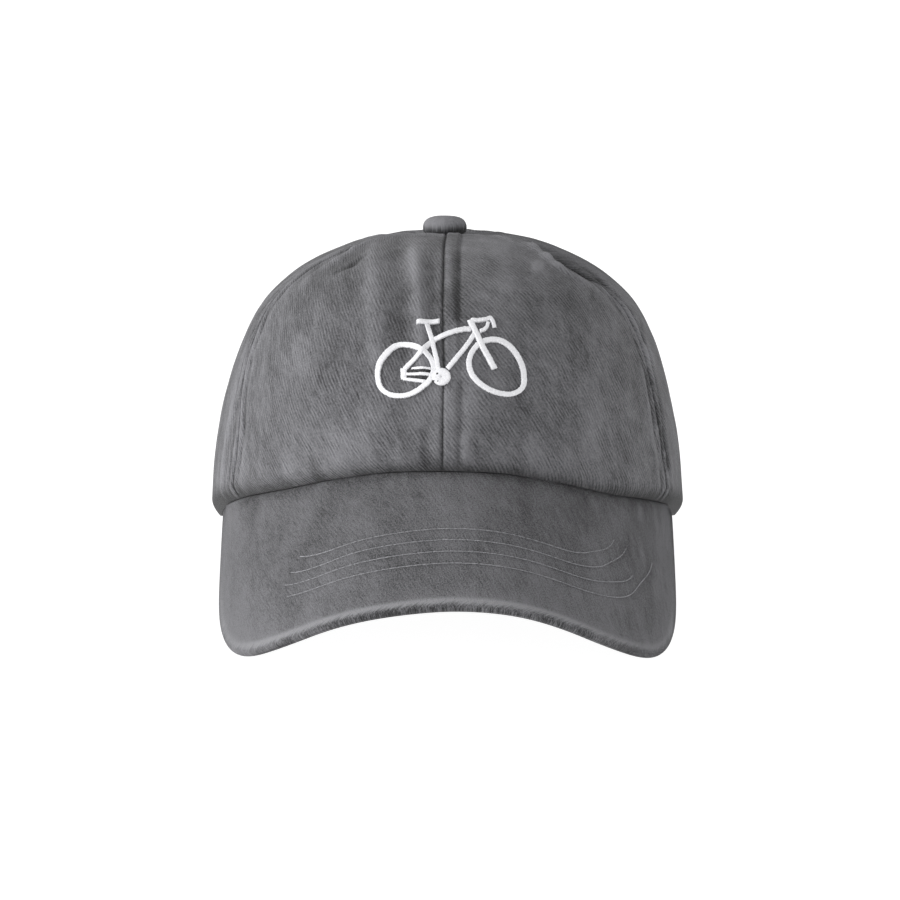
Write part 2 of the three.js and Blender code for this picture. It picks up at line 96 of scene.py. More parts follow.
# Folds and dents of the crown, by the side that they are seen from. Each lies along a line. Its columns:
# across and height at one end (from the top: across and back), the same at the other end, its width,
# how far it stands out (in, below zero) and how much paler it is coloured (darker, below zero). The
# paleness is partly worn into the cloth and partly painted highlight on the ridges, and the darkening in the
# hollows is painted shade
FOLDS = {
    "front": (
        (-11.3, 99.5, -8.6, 62, 2.3, 0.9, 0.62),
        (-17.5, 104, -15.5, 68, 4, -1.1, -0.55),
        (-27, 102, -25, 66, 3.2, 1, 0.5),
        (-6, 96, -4.5, 70, 2.6, -0.4, -0.3),
        (-7.7, 42, -7.4, 31, 1.8, -0.6, -0.42),
        (-3.6, 44, -3.8, 33, 1.7, 0.3, 0.2),
        (6.4, 40, 6.6, 32, 2.2, 0.6, 0.45),
        (4.7, 58, 4.3, 31, 1.5, -0.5, -0.4),
        (-2.6, 103.5, -3, 90, 2.6, -0.3, -0.4),
        (3.2, 103, 3.5, 80, 1.7, -0.3, -0.8),
        (0.2, 101, 0.2, 90, 1.2, 0, 0.55),
        (6.8, 104, 18, 103.6, 4, 0, 1.2),
        (-3.4, 103, -3.4, 90, 1.8, 0, 0.6),
        (-11.5, 104, -11.5, 95, 4, 0, 0.8),
        (-38, 74, -38, 56, 13, 0, -0.13),
        (-20, 40, -22, 33, 3.5, -0.5, -0.15),
        (-30, 62, -33, 44, 4, -0.5, -0.2),
        (-46, 62, -50, 40, 5, 0.5, 0.2),
        (31.6, 95, 32.6, 95.2, 1.3, 0.8, 2.8),
        (30, 93, 52, 78, 6, -0.5, -0.1),
        (-62, 60, -66, 14, 6, 0.7, 0),
        (62, 62, 66, 16, 6, 0.6, 0),
        (69.6, 72, 70.6, 67, 0.9, -0.4, -0.9),
        (71.9, 58, 72.7, 53, 0.9, -0.4, -0.9),
        (73.2, 52.5, 74, 47.5, 0.9, -0.4, -0.9),
        (74.6, 45, 75.4, 39, 0.9, -0.4, -1),
        (76.5, 35.5, 77.4, 29, 0.9, -0.4, -1),
        (78.7, 26.5, 79.2, 22, 0.9, -0.4, -0.9),
        (-8, 48, -8, 36, 9, 0, 0.25),
        (7, 50, 7, 36, 9, 0, 0.2),
        (-32, 40, -48, 34, 7, 0, 0.2),
        (-34, 92, -46, 82, 14, 0, -0.14),
        (12, 92, 27, 90, 9, 0, 0.2),
    ),
    "top": (
        (-26.5, -13, -33.5, -23, 1.7, 0.8, 0.75),
        (-33.5, -23, -40, -30.5, 1.9, 0.9, 0.75),
        (-40, -30.5, -50, -34, 2.6, 0.6, 0.35),
        (-30, -37, -34, -41.5, 1.9, -0.7, -0.55),
        (-34, -41.5, -38.5, -42, 1.9, -0.6, -0.5),
        (-31, -30, -39, -37, 3.6, -0.4, -0.25),
        (-9, -9, -2, -11, 3.6, 0.55, 0.5),
        (2, -11, 9, -9, 3.6, 0.4, 0.5),
        (19.5, -14.5, 31, -21.5, 3, 0.8, 0.35),
        (31, -21.5, 35.6, -31.5, 2.2, 1, 0.6),
        (35.6, -31.5, 39.6, -37.8, 2.1, 1.2, 0.95),
        (39.6, -37.8, 48.5, -38.6, 2.4, 0.9, 0.7),
        (34, -16.5, 42, -25, 3.8, -1.1, -0.5),
        (42, -25, 49, -28, 4.6, -1.4, -0.75),
        (49, -28, 56, -26, 3.6, -0.9, -0.5),
        (-18, 4, -52, 6, 12, -0.45, 0),
        (-11, 10, -17, 10, 8, -1, 0),
        (10, 10, 21, 10, 8, -0.4, 0),
        (48, 4, 60, 6, 10, -0.5, 0),
    ),
    "left": (
        (-34, 56, -36, 14, 7, 0, 0.35),
        (-4, 88, -4, 68, 18, -0.9, 0),
        (-6, 50, -6, 25, 18, -0.2, 0),
        (-30.7, 6, -33, 44, 1.7, 0.5, 0.5),
        (-35.4, 6, -38, 44, 1.6, -0.5, -0.4),
        (4, 96, 10, 42, 9, -1.2, 0),
        (40, 74, 52, 26, 9, 1, 0),
    ),
    "right": (
        (-35, 52, -37, 16, 6, 0, -0.25),
        (-4, 46, -4, 22, 18, -0.3, 0),
        (2, 95, -6, 46, 9, -1, 0),
        (38, 76, 54, 30, 9, 1.1, 0),
    ),
    "back": (
        (-30, 92, -42, 52, 9, -1.1, 0),
        (26, 93, 40, 56, 9, -1, 0),
    ),
}

# The arch cut out over the strap, with half the crown's width where it starts
ARCH = {"half_width": 38.0, "rise": 46.0, "base": 4.0, "crown_side": 86.4, "curl": 2.2}

PEAK = {
    "azimuth": 75.0, "half_width": 80.7, "start": -32.0, "reach": 165.0,
    "square_left": 3.02, "square_right": 3.08, "seam_height": 30.2, "slope": 0.66,
    "sag": 0.0053, "sag_growth": 9.5e-7, "belly": 1.2, "half": 1.8, "horn_half": 0.7, "tuck_in": 4.0,
}

# The rows of stitching on the peak: distance from its edge, how much closer they come to it on the left
# and on the right, and where each starts and ends (as shares of the way from the middle to a horn)
PEAK_ROWS = (
    {"inset": 42.5, "left": 3.0, "right": 5.2, "start": -0.42, "end": 0.545},
    {"inset": 36.1, "left": 3.5, "right": 4.9, "start": -0.44, "end": 0.61},
    {"inset": 29.6, "left": 2.4, "right": 3.2, "start": -0.45, "end": 0.59},
    {"inset": 23.0, "left": 1.2, "right": 5.0, "start": -0.425, "end": 0.735},
)

# Pale creases beside the rows on the peak, seen from above: across and back at both ends
PEAK_CREASES = (
    (67.1, -60.0, 66.9, -66.5),
    (66.4, -77.0, 67.0, -84.0),
    (67.0, -84.0, 68.2, -92.0),
)

BUTTON = {"x": -1.0, "radius": 7.9, "rise": 6.2, "lift": 0.6}

# The bicycle, in the plane of the cloth: the axle line is its base, x to the right. Its wheels and the disc
# of its chain are rings with radii at even turns, and its tubes and bars are strokes along their paths.
MOTIF = {"x": 1.0, "height": 62.3, "upright": 0.9}
WHEELS = (
    {"x": -16.2, "y": -0.7, "stroke": 1.85, "relief": 0.3,
     "radii": (10.39, 10.66, 10.4, 10.0, 10.29, 10.29, 9.25, 8.49, 8.43,
               8.87, 9.36, 10.02, 9.84, 9.21, 8.73, 8.46, 8.57, 9.45)},
    {"x": 15.8, "y": 0.7, "stroke": 1.9, "relief": 0.3,
     "radii": (9.13, 8.53, 8.54, 9.07, 9.88, 10.42, 10.64, 10.23, 9.81,
               9.17, 8.51, 8.05, 8.04, 8.58, 9.79, 11.41, 11.95, 10.31)},
    {"x": -3.1, "y": -2.5, "stroke": 3.2, "relief": 0.42, "radii": (1.6,) * 18},
)
TUBES = (
    {"path": ((-11.7, 17.0), (-3.7, 17.9)), "stroke": 1.5, "relief": 0.48},
    {"path": ((-8.1, 16.6), (-6.5, 11.8), (-5.8, 8.2), (-4.7, 3.8), (-4.1, 0)),
     "stroke": 1.7, "relief": 0.44},
    {"path": ((-15.9, 0.1), (-14.4, 2.0), (-12.0, 4.35), (-9.7, 6.8), (-7.6, 9.2), (-5.3, 11.4),
              (-1.8, 13), (1.6, 14.2), (4.9, 14.9), (7.2, 14.9)), "stroke": 1.65, "relief": 0.38},
    {"path": ((8.3, 13.2), (6.8, 10.6), (4.7, 7.7), (2, 4.3), (-1, 0.5)), "stroke": 1.65, "relief": 0.36},
    {"path": ((6.9, 18.2), (8, 15.4), (9.6, 12), (11.1, 8.5), (13.2, 4.5), (15.3, 0.2)),
     "stroke": 2.0, "relief": 0.5},
    {"path": ((7, 18.1), (9.4, 17.9), (12, 18.2), (13.9, 18.7), (14.7, 17.5), (15.4, 15.3)),
     "stroke": 1.35, "relief": 0.46},
    {"path": ((13.2, 17.5), (12.8, 15.7), (11.8, 14.6), (10.1, 14)), "stroke": 1.3, "relief": 0.42},
    {"path": ((-13.4, 0.45), (-6.5, 0.35)), "stroke": 0.85, "relief": 0.3},
    {"path": ((-15.4, -1.65), (-6.2, -1.75)), "stroke": 1.0, "relief": 0.3},
    {"path": ((-16.2, -3.4), (-8.6, -4.3)), "stroke": 1.15, "relief": 0.3},
    {"path": ((-16.15, 0.5), (-16.1, -3.7)), "stroke": 2.1, "relief": 0.38},
)

# Strokes of painted shade in the gaps between the bars of the chain and on the chain's disc, made as dark
# thread
PAINTED_SHADE_MARKS = (
    {"path": ((-14.0, -0.55), (-7.0, -0.65)), "stroke": 0.9, "relief": 0.0},
    {"path": ((-15.0, -2.6), (-7.9, -3.1)), "stroke": 0.75, "relief": 0.0},
    {"path": ((-5.1, -1.5), (-3.9, -1.5)), "stroke": 0.8, "relief": 0.58},
    {"path": ((-6.2, -4.1), (-5.2, -4.2)), "stroke": 0.5, "relief": 0.55},
    {"path": ((-4.8, -4.25), (-3.8, -4.25)), "stroke": 0.5, "relief": 0.58},
)

STRAP = {"thickness": 1.6, "bottom": 3.0, "top": 22.0, "inset": 3.9, "end_azimuth": 148.0}
SLIDE = {"azimuth": 170.0, "length": 11.0, "bar": 1.9, "wall": 1.0, "clearance": 0.8, "rounding": 0.45}

# The studio: its lights in metres and watts, the even light from all around, and the photo's camera
LIGHTS = (
    {"name": "key_left", "at": (-2.2, -0.5, 0.62), "size": 1.0, "power": 52},
    {"name": "fill_front", "at": (0.5, -2.1, 0.4), "size": 1.4, "power": 17},
    {"name": "top", "at": (0.0, 0.3, 1.9), "size": 1.2, "power": 6},
)
LIT_POINT = (0, 0, 0.06)
SURROUND = 0.46
# The floor: its half width, how strongly it glows, and the reach and place of the painted shadow under the
# cap, in metres
FLOOR = {"half": 6.0, "glow": 0.96, "shaded_reach": 0.072, "shaded_y": 0.045}
CAMERA = {"target": (0.0009, 0.03326, 0.04068), "distance": 2.0, "elevation": 15.35, "lens": 218.2}


# Curves and vectors
def smooth(values, at):
    """A smooth curve through evenly spaced values."""
    values = np.asarray(values, float)
    last = len(values) - 1
    at = np.clip(at, 0, last)
    i = np.minimum(np.floor(at).astype(int), last - 1)
    t = at - i
    a, b, c, d = (values[np.clip(i + k, 0, last)] for k in (-1, 0, 1, 2))
    bend = (2 * a - 5 * b + 4 * c - d) * t + (3 * b - a - 3 * c + d) * t * t
    return b + 0.5 * t * (c - a + bend)


def smoothstep(low, high, value):
    t = np.clip((value - low) / (high - low), 0, 1)
    return t * t * (3 - 2 * t)


def mix(low, high, share):
    return low + (high - low) * share


def hump(value, middle, width):
    """A soft bump of height one."""
    return np.exp(-((value - middle) / width) ** 2)


def unit(vectors):
    return vectors / np.maximum(np.linalg.norm(vectors, axis=-1, keepdims=True), 1e-9)


def run_along(points, axis=0):
    """Distance along a line or a grid of points, from its start."""
    steps = np.linalg.norm(np.diff(points, axis=axis), axis=-1)
    start = np.zeros_like(np.take(steps, [0], axis=axis))
    return np.concatenate([start, np.cumsum(steps, axis=axis)], axis=axis)


def on_line(at, lengths, line):
    """The points of a line at given distances along it."""
    return np.stack([np.interp(at, lengths, line[:, axis]) for axis in range(line.shape[1])], -1)


def place(points):
    """Lean the cap back and stand it on the ground: from its own frame in mm to the scene's in metres."""
    x, y, z = np.moveaxis(np.asarray(points, float), -1, 0)
    back = y * math.cos(LEAN) + z * math.sin(LEAN)
    up = z * math.cos(LEAN) - y * math.sin(LEAN)
    return np.stack([x + STAND[0], back + STAND[1], up + STAND[2]], -1) / 1000


# Unevenness of washed cloth, from a seeded lattice of numbers
LATTICE = np.random.default_rng(11).uniform(-1, 1, (32, 32, 32))


def uneven(x, y, z=0.0):
    """Smooth noise between -1 and 1, with one swing for about every unit of its coordinates."""
    spots = np.stack(np.broadcast_arrays(np.asarray(x, float), y, z), -1)
    base = np.floor(spots).astype(int)
    t = spots - base
    t = t * t * (3 - 2 * t)
    total = np.zeros(spots.shape[:-1])
    for dx in (0, 1):
        for dy in (0, 1):
            for dz in (0, 1):
                i, j, k = ((base[..., axis] + step) % 32 for axis, step in enumerate((dx, dy, dz)))
                weight = np.prod(np.where((dx, dy, dz), t, 1 - t), axis=-1)
                total = total + weight * LATTICE[i, j, k]
    return total


def uneven_at(points, size, shift=0.0):
    """Noise over points, with swings of about the given size."""
    scaled = points / size + shift
    return uneven(scaled[..., 0], scaled[..., 1], scaled[..., 2])


# The crown's surface
def ground_height(y):
    """Height of the ground that the leaning cap rests on, at a depth y in the cap's own frame."""
    return (y - BACK_REACH) * math.tan(LEAN)


def row_at_height(height):
    """The row of the sections table at which the crown reaches a height."""
    low = np.zeros(np.shape(height))
    high = np.full(np.shape(height), TOP_ROW - 1.0)
    for _ in range(30):
        middle = (low + high) / 2
        below = smooth(SECTIONS["height"], middle) < height
        low = np.where(below, middle, low)
        high = np.where(below, high, middle)
    return (low + high) / 2


def plain_crown(azimuth, row):
    """A point of the crown without its folds, at an azimuth and a row of the sections table."""
    angle = np.radians(azimuth)
    reach = np.where(np.cos(angle) > 0, smooth(SECTIONS["front"], row), smooth(SECTIONS["back"], row))
    side = smooth(SECTIONS["side"], row)
    height = smooth(SECTIONS["height"], row)
    return np.stack(np.broadcast_arrays(side * np.sin(angle), -reach * np.cos(angle), height), -1)


def crown_normal(azimuth, row):
    across = plain_crown(azimuth + 0.5, row) - plain_crown(azimuth - 0.5, row)
    below = np.maximum(row - 0.05, 0)
    above = np.minimum(row + 0.05, TOP_ROW)
    return unit(np.cross(across, plain_crown(azimuth, above) - plain_crown(azimuth, below)))


def line_distance(level, upright, start, end):
    """Distance of points in a plane from a straight line between two of its points."""
    run = np.array(end, float) - start
    here = np.stack([level - start[0], upright - start[1]], -1)
    along = np.clip(here @ run / (run @ run), 0, 1)[..., None]
    return np.linalg.norm(here - along * run, axis=-1)


def fold_relief(point, normal):
    """How far the folds push the cloth out at each point, and how much paler they colour it: worn paler in
    part, and painted highlight on their ridges and painted shade in their hollows.
    """
    sides = {
        "front": (point[..., 0], point[..., 2], -normal[..., 1]),
        "back": (point[..., 0], point[..., 2], normal[..., 1]),
        "left": (point[..., 1], point[..., 2], -normal[..., 0]),
        "right": (point[..., 1], point[..., 2], normal[..., 0]),
        "top": (point[..., 0], point[..., 1], normal[..., 2]),
    }
    depth = np.zeros(point.shape[:-1])
    tone_and_shade = np.zeros(point.shape[:-1])
    for side, (level, upright, towards) in sides.items():
        facing = smoothstep(-0.05, 0.35, towards)
        for across, height, to_across, to_height, width, out, pale in FOLDS[side]:
            off = line_distance(level, upright, (across, height), (to_across, to_height))
            amount = hump(off, 0, width) * facing
            depth = depth + out * amount
            tone_and_shade = tone_and_shade + pale * amount
    return depth, tone_and_shade


def rim_height(azimuth):
    turned = np.where(azimuth > 180, azimuth - 360, azimuth)
    steps = np.abs(turned) / RIM_STEP
    return np.where(turned < 0, smooth(RIM["left"], steps), smooth(RIM["right"], steps))


def rim_tuck(azimuth):
    behind = smoothstep(-0.25, 0.6, -np.cos(np.radians(azimuth)))
    return mix(HEM["tuck"], HEM["back_tuck"], behind)


def rim_lowest(azimuth):
    ground = ground_height(plain_crown(azimuth, 1.0)[..., 1]) - HEM["press"]
    return np.maximum(rim_height(azimuth), ground)


def on_ground(points):
    """Keep points from sinking below the ground."""
    points = points.copy()
    points[..., 2] = np.maximum(points[..., 2], ground_height(points[..., 1]))
    return points


# Meshes
def wall_faces(rows, columns, closed=False):
    """The faces of a closed wall between an outer and an inner skin on one grid."""
    size = rows * columns
    faces = []
    spans = columns if closed else columns - 1
    for j in range(rows - 1):
        for i in range(spans):
            a, b = j * columns + i, j * columns + (i + 1) % columns
            c, d = b + columns, a + columns
            faces.append((a, b, c, d))
            faces.append((size + b, size + a, size + d, size + c))
    for i in range(spans):
        a, b = i, (i + 1) % columns
        faces.append((size + a, size + b, b, a))
        top = (rows - 1) * columns
        faces.append((top + a, top + b, size + top + b, size + top + a))
    if not closed:
        for j in range(rows - 1):
            a, d = j * columns, (j + 1) * columns
            faces.append((size + a, a, d, size + d))
            b, c = a + columns - 1, d + columns - 1
            faces.append((b, size + b, size + c, c))
    return faces


def new_piece(name, points, faces, material, values=None, cloth_map=None):
    """A mesh piece in the scene from points in metres, with values and a cloth map at its points."""
    mesh = bpy.data.meshes.new(name)
    mesh.from_pydata(np.asarray(points).reshape(-1, 3).tolist(), [], faces)
    for label, numbers in (values or {}).items():
        store = mesh.attributes.new(label, "FLOAT", "POINT")
        store.data.foreach_set("value", np.asarray(numbers, np.float32).ravel())
    if cloth_map is not None:
        corners = np.empty(len(mesh.loops), np.int32)
        mesh.loops.foreach_get("vertex_index", corners)
        layer = mesh.uv_layers.new(name="cloth")
        flat = np.asarray(cloth_map, np.float32).reshape(-1, 2)[corners]
        layer.data.foreach_set("uv", flat.ravel())
    mesh.materials.append(material)
    mesh.shade_smooth()
    mesh.update()
    piece = bpy.data.objects.new(name, mesh)
    bpy.context.collection.objects.link(piece)
    return piece


def two_skins(outer, inner):
    return np.concatenate([outer.reshape(-1, outer.shape[-1]), inner.reshape(-1, inner.shape[-1])])


def sewn_wall(name, outer, inner, material, values, cloth_map, closed=False):
    """A cloth wall between two skins given as grids of points, with values over its outer skin."""
    rows, columns = outer.shape[:2]
    points = place(two_skins(outer, inner))
    values = {label: np.concatenate([grid.ravel(), grid.ravel() * (label != "tone_and_shade")])
              for label, grid in values.items()}
    return new_piece(name, points, wall_faces(rows, columns, closed), material, values,
                     two_skins(cloth_map, cloth_map))


def marched(length, spacing):
    """Shares along a length, with steps whose size in mm varies with the distance along it."""
    stops = [0.0]
    while stops[-1] < length:
        stops.append(stops[-1] + spacing(stops[-1]))
    return np.array(stops) / stops[-1]


def graded(length, fine, coarse, near, far):
    """Shares along a length, with steps that widen from fine to coarse between two distances."""
    return marched(length, lambda off: mix(fine, coarse, float(smoothstep(near, far, off))))


def graded_both_ways(length, fine, coarse, near, far):
    """The same, from either end to the middle."""
    half = graded(length / 2, fine, coarse, near, far) / 2
    return np.concatenate([half, 1 - half[-2::-1]])


# Materials
class Level:
    """A number that varies over a surface: arithmetic on it adds the material's Math nodes."""

    def __init__(self, finish, socket):
        self.finish = finish
        self.socket = socket

    def maths(self, operation, *terms):
        node = self.finish.node("ShaderNodeMath", {"operation": operation}, dict(enumerate(terms)))
        return Level(self.finish, node.outputs[0])

    def __add__(self, other):
        return self.maths("ADD", self, other)

    def __sub__(self, other):
        return self.maths("SUBTRACT", self, other)

    def __rsub__(self, other):
        return self.maths("SUBTRACT", other, self)

    def __mul__(self, other):
        return self.maths("MULTIPLY", self, other)

    def __truediv__(self, other):
        return self.maths("DIVIDE", self, other)

    def __pow__(self, other):
        return self.maths("POWER", self, other)

    def sine(self):
        return self.maths("SINE", self)

    def over(self, low, high):
        """How far this is on the way from low to high, kept between nothing and one."""
        node = self.finish.node("ShaderNodeMapRange", {"interpolation_type": "SMOOTHSTEP"},
                                {"Value": self, "From Min": low, "From Max": high})
        return Level(self.finish, node.outputs[0])

    __radd__ = __add__
    __rmul__ = __mul__


class Finish:
    """A material's recipe of nodes."""

    def __init__(self, name):
        self.material = bpy.data.materials.new(name)
        self.material.use_nodes = True
        self.tree = self.material.node_tree
        self.shader = self.tree.nodes["Principled BSDF"]

    def fill(self, node, sockets):
        for key, value in sockets.items():
            socket = node.inputs[key]
            if isinstance(value, Level):
                value = value.socket
            if isinstance(value, bpy.types.NodeSocket):
                self.tree.links.new(value, socket)
            else:
                socket.default_value = value

    def node(self, kind, settings, sockets):
        """Add one node: its settings first, then the values or links of its sockets."""
        made = self.tree.nodes.new(kind)
        for key, value in settings.items():
            setattr(made, key, value)
        self.fill(made, sockets)
        return made

    def coordinates(self, which):
        return self.node("ShaderNodeTexCoord", {}, {}).outputs[which]

    def cloth_place(self):
        """Where a point lies on the flat cloth, in millimetres."""
        spot = self.node("ShaderNodeUVMap", {"uv_map": "cloth"}, {}).outputs["UV"]
        parts = self.node("ShaderNodeSeparateXYZ", {}, {0: spot}).outputs
        return Level(self, parts[0]), Level(self, parts[1])

    def spot(self, x, y, z=0.0):
        return self.node("ShaderNodeCombineXYZ", {}, {0: x, 1: y, 2: z}).outputs[0]

    def noise(self, where, scale, detail=2.0, roughness=0.5):
        sockets = {"Vector": where, "Scale": scale, "Detail": detail, "Roughness": roughness}
        return Level(self, self.node("ShaderNodeTexNoise", {}, sockets).outputs[0])

    def stored(self, label):
        node = self.node("ShaderNodeAttribute", {"attribute_type": "GEOMETRY", "attribute_name": label}, {})
        return Level(self, node.outputs["Fac"])

    def tinted(self, share, low, high):
        """A colour between two others, the low one a plain colour or one made before."""
        if not isinstance(low, bpy.types.NodeSocket):
            low = (*low, 1)
        node = self.node("ShaderNodeMix", {"data_type": "RGBA"}, {0: share, 6: low, 7: (*high, 1)})
        return node.outputs[2]

    def bump(self, height, distance):
        node = self.node("ShaderNodeBump", {}, {"Height": height, "Distance": distance, "Strength": 1.0})
        return node.outputs[0]


WASHED_DARK = (0.020, 0.020, 0.0213)
WASHED_PALE = (0.205, 0.204, 0.217)
BRUSHED_PALE = (0.31, 0.31, 0.325)
SATIN_GREY = (0.60, 0.60, 0.625)
SATIN_WHITE = (0.91, 0.91, 0.93)
STEEL_DARK = (0.40, 0.39, 0.37)
STEEL_PALE = (0.62, 0.61, 0.59)


def washed_twill(name, slant, line=1.22, lines=1.0, hair=1.0, fine=1.25, grain=1.0, level=0.5, edge=False):
    """Washed grey twill: slanting lines, speckled yarn, cloudy fading, and the stored tone and shade: worn
    paler on the ridges, with painted highlight and painted shade along the relief.

    The lines are "line" mm apart. Then come the strengths of the lines, of the hairs along them and of the
    speckled grain, how fine hairs and grain are, and how pale the cloth is. With edge, the cloth is
    brushed pale along a rolled edge, in short streaks across it, and painted shade darkens the very edge of
    the roll.
    """
    finish = Finish(name)
    across, up = finish.cloth_place()
    angle = math.radians(slant)
    square = across * math.sin(angle) + up * math.cos(angle)
    along = across * math.cos(angle) - up * math.sin(angle)
    cloth = finish.spot(across, up)
    drift = finish.noise(cloth, 0.05) * 3.2 + finish.noise(cloth, 0.3) * 0.5
    rows = ((square + drift) * (2 * math.pi / line)).sine() * 0.5
    hairs = finish.noise(finish.spot(square * fine, along * 0.2), 1.0, 3.0, 0.65) - 0.5
    yarn = finish.noise(cloth, fine, 3.0, 0.8) - 0.5
    clouds = finish.noise(finish.spot(across, up * 0.55, 7.0), 0.055, 4.0, 0.62) - 0.5
    patches = finish.noise(finish.spot(square, along * 0.45, 3.0), 0.2, 3.0, 0.6) - 0.5
    broken = finish.noise(finish.spot(across, up, 5.0), 0.22, 3.0, 0.65).over(0.34, 0.62) * 0.85 + 0.15
    weave = rows * broken * (0.26 * lines) + hairs * (0.85 * hair) + yarn * (1.05 * grain)
    # The stored tone and shade: paler where the cloth is worn on its ridges, with painted highlight on the
    # ridges and painted shade in furrows, seams and hem
    shade = weave + clouds * 0.95 + patches * 0.5 + finish.stored("tone_and_shade") * 0.45 + level
    height = rows * broken * (0.8 * lines) + hairs * (1.6 * hair) + yarn * (2.2 * grain)
    if edge:
        inset = finish.stored("inset")
        streaks = finish.noise(finish.spot(finish.stored("along") * 1.9, inset * 0.2), 1.0, 3.0, 0.75) - 0.5
        ragged = inset + streaks * 4.0
        pale = ragged.over(0.2, 2.9) * (1.0 - ragged.over(2.9, 6.0)) * finish.stored("brushed")
        soft = (1.0 - ragged.over(3.0, 11.0)) * ragged.over(0.5, 3.5) * 0.14
        # A painted shade darkening the very edge of the roll, as strong as the stored shaded value
        rim = (1.0 - ragged.over(-0.7, 1.6)) * finish.stored("shaded") * 0.34
        shade = shade + soft - rim
    colour = finish.tinted(shade.over(-0.1, 1.1), WASHED_DARK, WASHED_PALE)
    if edge:
        colour = finish.tinted((pale * (streaks * 2.4 + 0.92)).over(0.0, 1.0), colour, BRUSHED_PALE)
    finish.fill(finish.shader, {
        "Base Color": colour,
        "Roughness": 0.93,
        "Sheen Weight": 0.12,
        "Sheen Roughness": 0.6,
        "Specular IOR Level": 0.15,
        "Normal": finish.bump(height, 0.00018),
    })
    return finish.material


def satin_thread(name):
    """White embroidery thread, a little lustrous, with painted shade between the threads and along the sides
    of each band.
    """
    finish = Finish(name)
    where = finish.coordinates("Object")
    fibre = finish.noise(where, 1700.0, 3.0, 0.7) - 0.5
    soft = finish.noise(where, 420.0, 2.0, 0.5) - 0.5
    shade = finish.stored("tone_and_shade") + fibre * 0.9 + soft * 0.35
    finish.fill(finish.shader, {
        "Base Color": finish.tinted(shade.over(-0.55, 0.55), SATIN_GREY, SATIN_WHITE),
        "Roughness": 0.62,
        "Sheen Weight": 0.1,
        "Specular IOR Level": 0.3,
        "Normal": finish.bump(fibre, 0.00012),
    })
    return finish.material


def seam_thread(name, dark, pale):
    """Sewing thread with its twist."""
    finish = Finish(name)
    where = finish.coordinates("Object")
    fibre = finish.noise(where, 1900.0, 2.0, 0.6)
    finish.fill(finish.shader, {
        "Base Color": finish.tinted(fibre.over(0.3, 0.7), dark, pale),
        "Roughness": 0.8,
        "Specular IOR Level": 0.2,
        "Normal": finish.bump(fibre, 0.0001),
    })
    return finish.material


def brushed_metal(name):
    """Plain brushed steel, with fine lines along its length."""
    finish = Finish(name)
    where = finish.coordinates("Object")
    parts = finish.node("ShaderNodeSeparateXYZ", {}, {0: where}).outputs
    stretched = (Level(finish, part) * scale for part, scale in zip(parts, (60.0, 60.0, 2400.0)))
    lines = finish.noise(finish.spot(*stretched), 1.0, 3.0, 0.6)
    clouds = finish.noise(where, 90.0, 2.0, 0.5)
    finish.fill(finish.shader, {
        "Base Color": finish.tinted(lines, STEEL_DARK, STEEL_PALE),
        "Roughness": (clouds * 0.16 + lines * 0.12) + 0.22,
        "Metallic": 1.0,
        "Normal": finish.bump(lines, 0.00002),
    })
    return finish.material


THREAD_WHITE = satin_thread("white_embroidery_thread")
THREAD_PALE = seam_thread("pale_grey_thread", (0.16, 0.16, 0.17), (0.31, 0.31, 0.325))
# Thread as dark as the painted shade in the bicycle's gaps
THREAD_PAINTED_SHADE = seam_thread("painted_shade_thread", (0.012, 0.012, 0.013), (0.07, 0.07, 0.073))
THREAD_GREY = seam_thread("grey_thread", (0.10, 0.10, 0.105), (0.20, 0.20, 0.21))
STEEL = brushed_metal("brushed_steel_slide")


# Crown panels
SEAM_GROOVE = {"depth": 0.85, "width": 0.52}
SEAM_STRENGTH = {"front_left": 1.25, "front_right": 1.5}
OTHER_SEAMS = 1.1

# The length of cloth from the rim, or from the arch, up to the top
PANEL_LENGTH = 128.0
BACK_PANEL_LENGTH = 120.0


def seam_relief(off, along, seed, strength):
    """The cloth beside a puckered seam: two soft ridges with a stitched furrow between them.

    Its second value colours them, paler on the ridges and darker in the furrow and between the puckers:
    partly worn paler, partly painted highlight and painted shade.
    """
    liveliness = 0.75 + 0.35 * uneven(along / 14, seed)
    ridges = 0.42 * hump(off, 2.4, 1.3) - 0.34 * hump(off, 5.0, 0.9) + 0.26 * hump(off, 8.2, 1.7)
    leaning = off + 0.22 * along
    puckers = uneven(along / 8.0, leaning / 1.6, seed) * hump(off, 3.6, 3.6)
    relief = strength * (ridges * liveliness + 0.24 * puckers)
    tone_and_shade = strength * (1.0 * ridges * liveliness + 0.42 * puckers)
    return relief, tone_and_shade


def pressed_strip(off, along, height):
    """The allowance of the centre seam, pressed flat under the right panel, with its edge showing."""
    crisp = smoothstep(18, 95, height)
    edge = 4.9 - 0.2 * smoothstep(60, 25, height)
    step = 1 - smoothstep(edge - 0.5, edge + 0.9, off)
    relief = 0.42 * step * (0.35 + 0.65 * crisp) - 0.22 * hump(off, edge + 0.9, 0.8)
    return relief + 0.08 * uneven(along / 6, off / 6, 4.0) * step


def seam_azimuth(seam, share):
    """Azimuth of a seam at a share of the way from the rim to the top."""
    path = SEAMS[seam]
    return smooth(path, share * (len(path) - 1))


def panel_grid(panel):
    """Azimuth and row of every point of a panel, from its edge to the top and from seam to seam."""
    width = math.radians(SEAMS[panel["to"]][0] - SEAMS[panel["from"]][0]) * MEAN_RADIUS
    columns = graded_both_ways(width, fine=0.5, coarse=1.25, near=7, far=18)
    rows = graded(PANEL_LENGTH, fine=0.42, coarse=1.05, near=5, far=12)
    v, u = np.meshgrid(rows, columns, indexing="ij")
    azimuth = mix(seam_azimuth(panel["from"], v), seam_azimuth(panel["to"], v), u)
    start = row_at_height(rim_lowest(azimuth))
    row = mix(start, TOP_ROW, v)
    return u, v, azimuth, row


